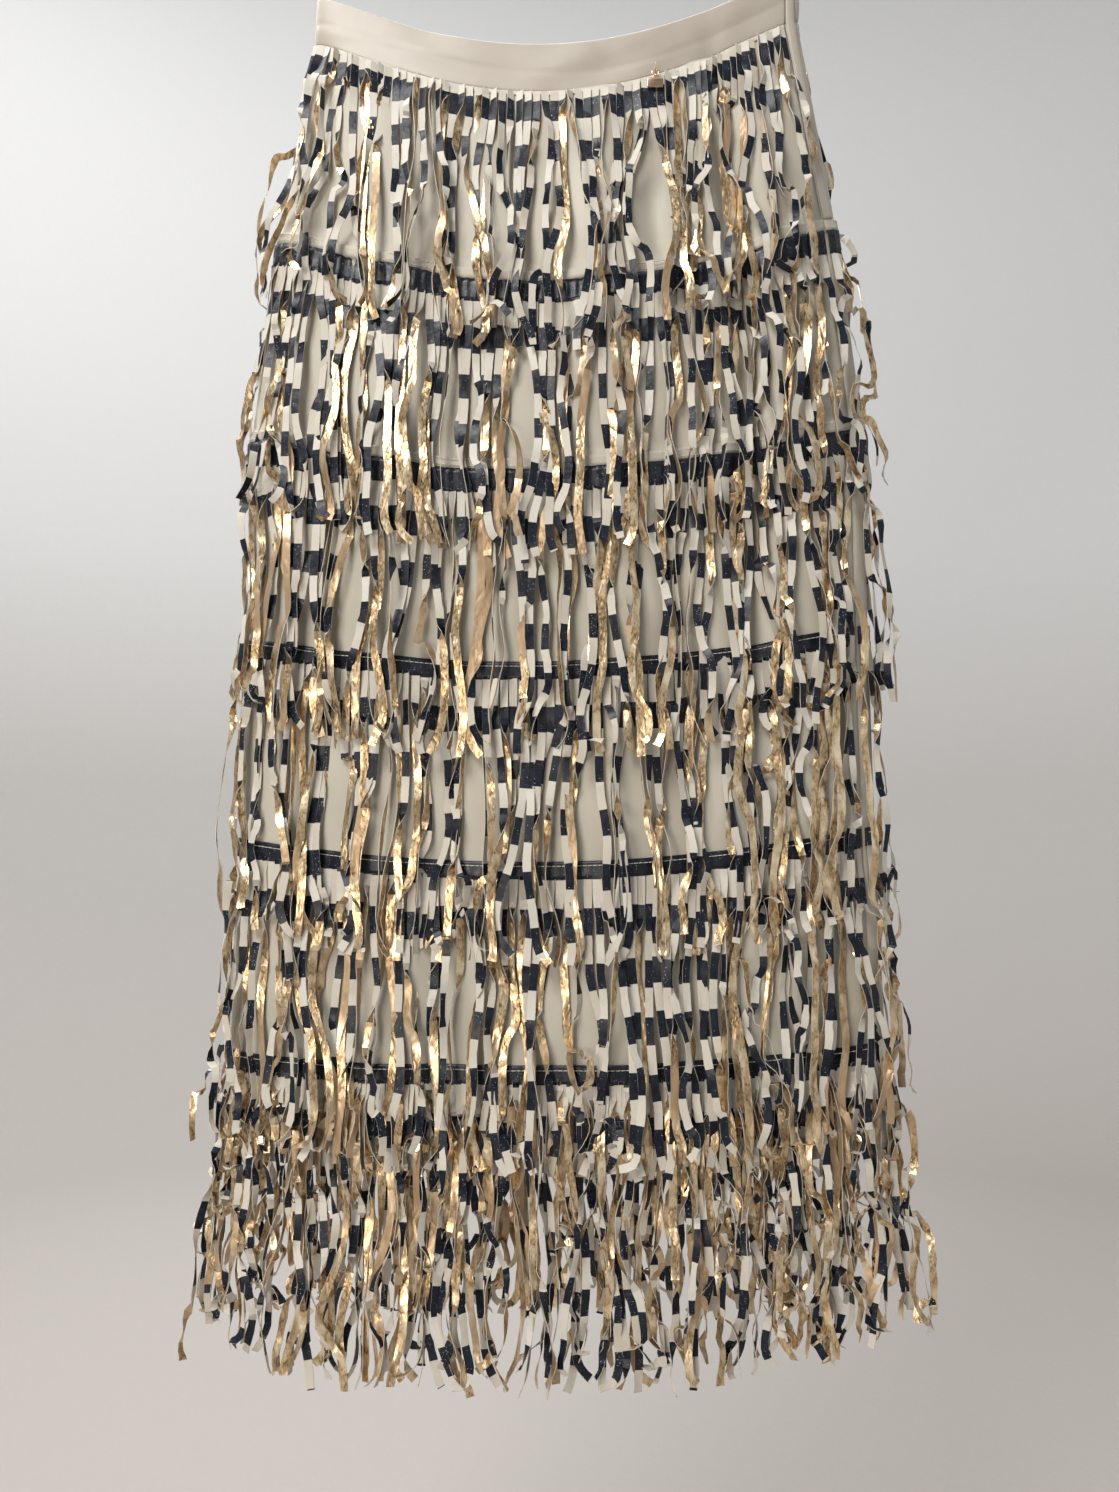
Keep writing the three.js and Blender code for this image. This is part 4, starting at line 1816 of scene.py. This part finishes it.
@dataclass
class HangingLoop:
    """A tape loop that leans out from a top corner of the waistband."""

    node: str
    tape: float = 3.0
    thick: float = 1.0
    opening: float = 7.0
    lean: float = 0.33
    clear: float = 1.0
    tail: float = 9.0
    play: float = 0.3
    band_wall: float = 1.9
    squareness: float = 0.7
    steps: int = 28
    sides: int = 8

    def build(self, side: int, corner: Vector, material: Finish) -> Piece:
        """The loop, swept from its tape's section round a narrow drop.

        Args:
            side: -1 on the left and 1 on the right.
            corner: The band's inner top corner, in millimetres.
            material: The tape.

        Returns:
            The piece.
        """
        middle = abs(corner.x) - self.band_wall - self.tape - self.play
        path = self.path(corner.z)
        shape = bmesh.new()
        rings = []
        for index, (x, z) in enumerate(path):
            before, after = path[index - 1], path[(index + 1) % len(path)]
            way = Vector((after[0] - before[0], after[1] - before[1])).normalized()
            rise = max(0.0, z - corner.z - self.clear)
            place = Vector((side * (middle + self.lean * rise) + x, 0.0, z))
            ring = self.section(place, Vector((-way.y, 0.0, way.x)))
            rings.append([shape.verts.new(point * MM) for point in ring])
        for index, ring in enumerate(rings):
            following = rings[(index + 1) % len(rings)]
            for first in range(self.sides):
                second = (first + 1) % self.sides
                shape.faces.new([ring[first], ring[second], following[second], following[first]])
        bmesh.ops.recalc_face_normals(shape, faces=shape.faces[:])
        piece = add_object(mesh_from(shape, f"{self.node}_tape"), material)
        wear(piece, "loop_tape", (self.node,))
        return piece

    def path(self, top: float) -> list[tuple[float, float]]:
        """The tape's middle line, from its right foot round the drop to its left foot.

        Args:
            top: The height of the band's corner, in millimetres.

        Returns:
            Places across and up, in millimetres.
        """
        radius = (self.opening + self.tape) / 2
        centre = -radius - self.tape / 2
        foot = top - self.tail + self.tape / 2
        foot_half = self.tape / 2 + self.play
        turns = np.linspace(0, math.pi, self.steps)
        path = [(foot_half, foot), (foot_half, top + self.clear)]
        path += [(radius * math.cos(turn), centre + radius * math.sin(turn)) for turn in turns]
        return path + [(-foot_half, top + self.clear), (-foot_half, foot)]

    def section(self, place: Vector, aside: Vector) -> list[Vector]:
        """The tape's rounded section about a place, as wide as the tape along aside.

        Args:
            place: The section's middle.
            aside: The direction of its width.

        Returns:
            The section's points, in millimetres.
        """
        points = []
        for turn in np.linspace(0, 2 * math.pi, self.sides, endpoint=False):
            flat = math.copysign(abs(math.cos(turn)) ** self.squareness, math.cos(turn))
            deep = Vector((0.0, math.sin(turn) * self.thick / 2, 0.0))
            points.append(place + aside * (flat * self.tape / 2) + deep)
        return points


@dataclass
class Charm:
    """The small ring and plain plate that hang in a thread loop under the waistband."""

    ring_radius: float = 2.3
    ring_wire: float = 0.4
    thread_radius: float = 2.7
    thread_wire: float = 0.4
    eye_radius: float = 1.4
    eye_wire: float = 0.45
    plate_width: float = 11.0
    plate_height: float = 6.5
    plate_wall: float = 1.0
    plate_corner: float = 1.0
    plate_bevel: float = 0.15
    eye_sunk: float = 0.3
    turns: int = 40

    def ring(self, name: str, radius: float, wire: float, is_edge_on: bool) -> Mesh:
        """A closed ring of round wire about the origin, spun from its section.

        Args:
            name: The mesh's name.
            radius: From the ring's middle to the wire's, in millimetres.
            wire: The wire's radius.
            is_edge_on: Whether it stands at right angles to the skirt.

        Returns:
            The mesh.
        """
        axis, away = ((1, 0, 0), (0, radius * MM, 0)) if is_edge_on else ((0, 1, 0), (radius * MM, 0, 0))
        shape = bmesh.new()
        bmesh.ops.create_circle(shape, segments=12, radius=wire * MM)
        bmesh.ops.translate(shape, verts=shape.verts[:], vec=away)
        spin_round(shape, axis, self.turns)
        bmesh.ops.recalc_face_normals(shape, faces=shape.faces[:])
        return mesh_from(shape, name)

    @staticmethod
    def round_off(shape: Shape, edges: list, radius: float, segments: int) -> None:
        """Rounds edges to a radius in millimetres.

        Args:
            shape: The shape.
            edges: The edges.
            radius: The radius.
            segments: How many faces make the round.
        """
        bmesh.ops.bevel(
            shape, geom=edges, offset=radius * MM, segments=segments, profile=0.5, affect="EDGES", material=-1
        )

    def plate(self, name: str, eye: Mesh) -> Mesh:
        """The plate with softened edges, and its eye on top, about the eye's middle.

        Args:
            name: The mesh's name.
            eye: The eye's ring.

        Returns:
            The mesh.
        """
        drop = self.eye_radius + self.eye_wire - self.eye_sunk + self.plate_height / 2
        shape = bmesh.new()
        made = bmesh.ops.create_cube(shape, size=1.0)
        size = Vector((self.plate_width, self.plate_wall, self.plate_height)) * MM
        bmesh.ops.scale(shape, vec=size, verts=made["verts"])
        upright = [edge for edge in shape.edges if abs(edge.verts[0].co.y - edge.verts[1].co.y) > 0.5 * size.y]
        self.round_off(shape, upright, self.plate_corner, 5)
        rim = [edge for edge in shape.edges if edge.calc_face_angle(0.0) > 1.2]
        self.round_off(shape, rim, self.plate_bevel, 3)
        bmesh.ops.translate(shape, verts=shape.verts[:], vec=(0, 0, -drop * MM))
        shape.from_mesh(eye)
        mesh = mesh_from(shape, name)
        bpy.data.meshes.remove(eye)
        return mesh

    def build(self, metal: Finish, thread: Finish) -> None:
        """Thread loop, ring and plate, each where its solid is.

        Args:
            metal: The finish of ring and plate.
            thread: The finish of the loop.
        """
        loop = self.ring("charm_loop", self.thread_radius, self.thread_wire, True)
        ring = self.ring("charm_link", self.ring_radius, self.ring_wire, False)
        eye = self.ring("charm_eye", self.eye_radius, self.eye_wire, True)
        plate = self.plate("charm_tag", eye)
        parts = ((loop, "charm_thread", False), (ring, "charm_ring", True), (plate, "charm_plate", True))
        for mesh, node, is_metal in parts:
            low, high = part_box(node)
            points = coordinates(mesh)
            middle = (points.max(axis=0) + points.min(axis=0)) / 2
            place_points(mesh, points + (np.array(low) + np.array(high)) / 2 - middle)
            piece = add_object(mesh, metal if is_metal else thread)
            if is_metal:
                wear(piece, "charm_metal", (node,), CHARM_BODY)
            else:
                wear(piece, "loop_tape", (node,))


# ------------------------------------------------------------------ studio


@dataclass(frozen=True)
class Lamp:
    """One area light, in metres and watts."""

    name: str
    place: tuple[float, float, float]
    aim: tuple[float, float, float]
    size: float
    power: float
    color: tuple[float, float, float] = (1.0, 1.0, 1.0)

    def light(self) -> None:
        """Puts the light in the scene."""
        lamp = bpy.data.lights.new(self.name, "AREA")
        lamp.size, lamp.energy, lamp.color = self.size, self.power, self.color
        made = bpy.data.objects.new(self.name, lamp)
        made.location = self.place
        way = Vector(self.aim) - Vector(self.place)
        made.rotation_euler = way.to_track_quat("-Z", "Y").to_euler()
        bpy.context.scene.collection.objects.link(made)


@dataclass
class Studio:
    """A round pale room with a curved foot, soft lights and the camera."""

    floor: float = -1.42
    radius: float = 2.9
    height: float = 4.2
    curve: float = 0.9
    turns: int = 72
    world: tuple[float, float, float] = (0.92, 0.95, 1.0)
    world_strength: float = 0.24
    camera_place: tuple[float, float, float] = (0.0014, -0.756, -0.658)
    camera_pitch: float = 4.2
    lens: float = 27.05
    lamps: tuple[Lamp, ...] = (
        Lamp("key", (-0.75, -1.35, 0.95), (0.0, 0.0, -0.5), 0.8, 36.0, (1.0, 0.98, 0.95)),
        Lamp("fill", (1.4, -1.5, -0.2), (0.0, 0.0, -0.5), 1.6, 3.5, (0.96, 0.98, 1.0)),
        Lamp("low", (-0.55, -1.3, -0.75), (0.0, 0.0, -0.92), 0.4, 6.0, (1.0, 0.90, 0.78)),
        Lamp("top", (0.2, 0.3, 1.3), (0.0, 0.0, -0.4), 0.9, 9.0),
        Lamp("back", (-0.6, 1.6, 0.7), (0.0, 0.0, -0.5), 1.2, 16.0),
        Lamp("wall", (-1.0, 0.6, 1.6), (0.1, 2.9, -0.4), 2.0, 72.0),
    )

    def backdrop(self, material: Finish) -> Piece:
        """Floor and wall in one sheet, spun round the skirt.

        Args:
            material: The room's finish.

        Returns:
            The piece.
        """
        bends = np.linspace(0, math.pi / 2, 17)
        inner = self.radius - self.curve
        bend = [(inner + self.curve * math.sin(t), self.floor + self.curve * (1 - math.cos(t))) for t in bends]
        line = [(0.0, self.floor), *bend, (self.radius, self.floor + self.height)]
        shape = bmesh.new()
        points = [shape.verts.new((x, 0.0, z)) for x, z in line]
        for first, second in zip(points, points[1:]):
            shape.edges.new((first, second))
        spin_round(shape, (0, 0, 1), self.turns)
        bmesh.ops.remove_doubles(shape, verts=shape.verts[:], dist=1e-5)
        bmesh.ops.recalc_face_normals(shape, faces=shape.faces[:])
        if sum(face.normal.z * face.calc_area() for face in shape.faces) < 0:
            bmesh.ops.reverse_faces(shape, faces=shape.faces[:])
        return add_object(mesh_from(shape, "backdrop"), material)

    def build(self) -> None:
        """Sets up the studio."""
        self.backdrop(StudioFinish().make())
        for lamp in self.lamps:
            lamp.light()
        scene = bpy.context.scene
        world = bpy.data.worlds.new("studio_air")
        world.use_nodes = True
        air = world.node_tree.nodes["Background"]
        air.inputs["Color"].default_value = (*self.world, 1.0)
        air.inputs["Strength"].default_value = self.world_strength
        scene.world = world
        scene.view_settings.view_transform = "Standard"
        lens = bpy.data.cameras.new("camera")
        lens.lens = self.lens
        camera = bpy.data.objects.new("camera", lens)
        camera.location = self.camera_place
        camera.rotation_euler = (math.radians(90.0 + self.camera_pitch), 0.0, 0.0)
        scene.collection.objects.link(camera)
        scene.camera = camera


# ------------------------------------------------------------------ the whole skirt


@dataclass
class FringeSkirt:
    """The whole skirt: cloth, band, fringe, sewing, loops and charm."""

    form: SkirtForm = field(default_factory=SkirtForm)
    strand_segments: int = 40
    lip_stitches: tuple[float, ...] = (2.2, 6.8)
    header_stitch: float = 3.2
    seed: int = 0
    back_seed: int = 100

    def cloth(self) -> dict[Side, Piece]:
        """The base cloth, the waistband and the placket.

        Returns:
            The base cloth's piece for each panel.
        """
        crepe, satin = CrepeFinish().make(), SatinFinish().make()
        panels = {}
        for side in Side:
            panels[side] = BaseCloth(self.form).build(side, crepe)
            piece = Waistband(self.form).build(side, satin)
        Placket(self.form).build(satin)
        return panels

    def fringe(self) -> None:
        """Every tier on both panels.
        """
        template = StrandTemplate(self.strand_segments)
        ribbons = {tier.number: RibbonFinish(f"ribbon_{tier.number}", tier.stripe).make() for tier in TIERS}
        foil = FoilFinish().make()
        edge = ThreadFinish("ribbon_edge", CREAM_WARM).make()
        navy, cream = HeaderFinish("header_navy").make(), HeaderFinish("header_cream", True).make()
        for side in Side:
            seed = self.seed + (self.back_seed if side is Side.BACK else 0)
            for tier in TIERS:
                made = FringeTier(self.form, tier, side, seed=seed)
                made.header(cream if tier.number == 1 else navy)
                made.strands(template, (ribbons[tier.number], foil, edge))

    def sewing(self) -> None:
        """Stitch rows over the gathered tiers and along the flat ones."""
        rows = StitchRows(self.form)
        thread = ThreadFinish("sewing_thread", (0.80, 0.77, 0.70)).make()
        for side in Side:
            lines = []
            for tier in TIERS[1:3]:
                lines += [rows.row(side, tier.down - rise) for rise in self.lip_stitches]
            for tier in TIERS[3:]:
                lines.append(rows.row(side, tier.down + self.header_stitch))
            rows.build(f"stitches_{side.value}", lines, thread, "loop_tape")

    def build(self) -> None:
        """The whole skirt."""
        panels = self.cloth()
        self.fringe()
        self.sewing()
        tape = ThreadFinish("hanging_tape", (0.82, 0.80, 0.75), 500.0, 0.4).make()
        for side, node in ((-1, "loop_left"), (1, "loop_right")):
            HangingLoop(node).build(side, self.corner(side), tape)
        Charm().build(CharmFinish().make(), ThreadFinish("charm_thread", (0.62, 0.52, 0.38)).make())

    def corner(self, side: int) -> Vector:
        """The band's top corner on one side."""
        angle = np.array([math.pi if side < 0 else 0.0])
        return Vector(self.form.point(angle, np.zeros(1), np.zeros(1))[0])


def main() -> None:
    """Builds the dressed skirt and its studio."""
    logging.basicConfig(level=logging.INFO, format="%(name)s: %(message)s")
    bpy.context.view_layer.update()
    FringeSkirt().build()
    Studio().build()


if __name__ == "__main__":
    main()
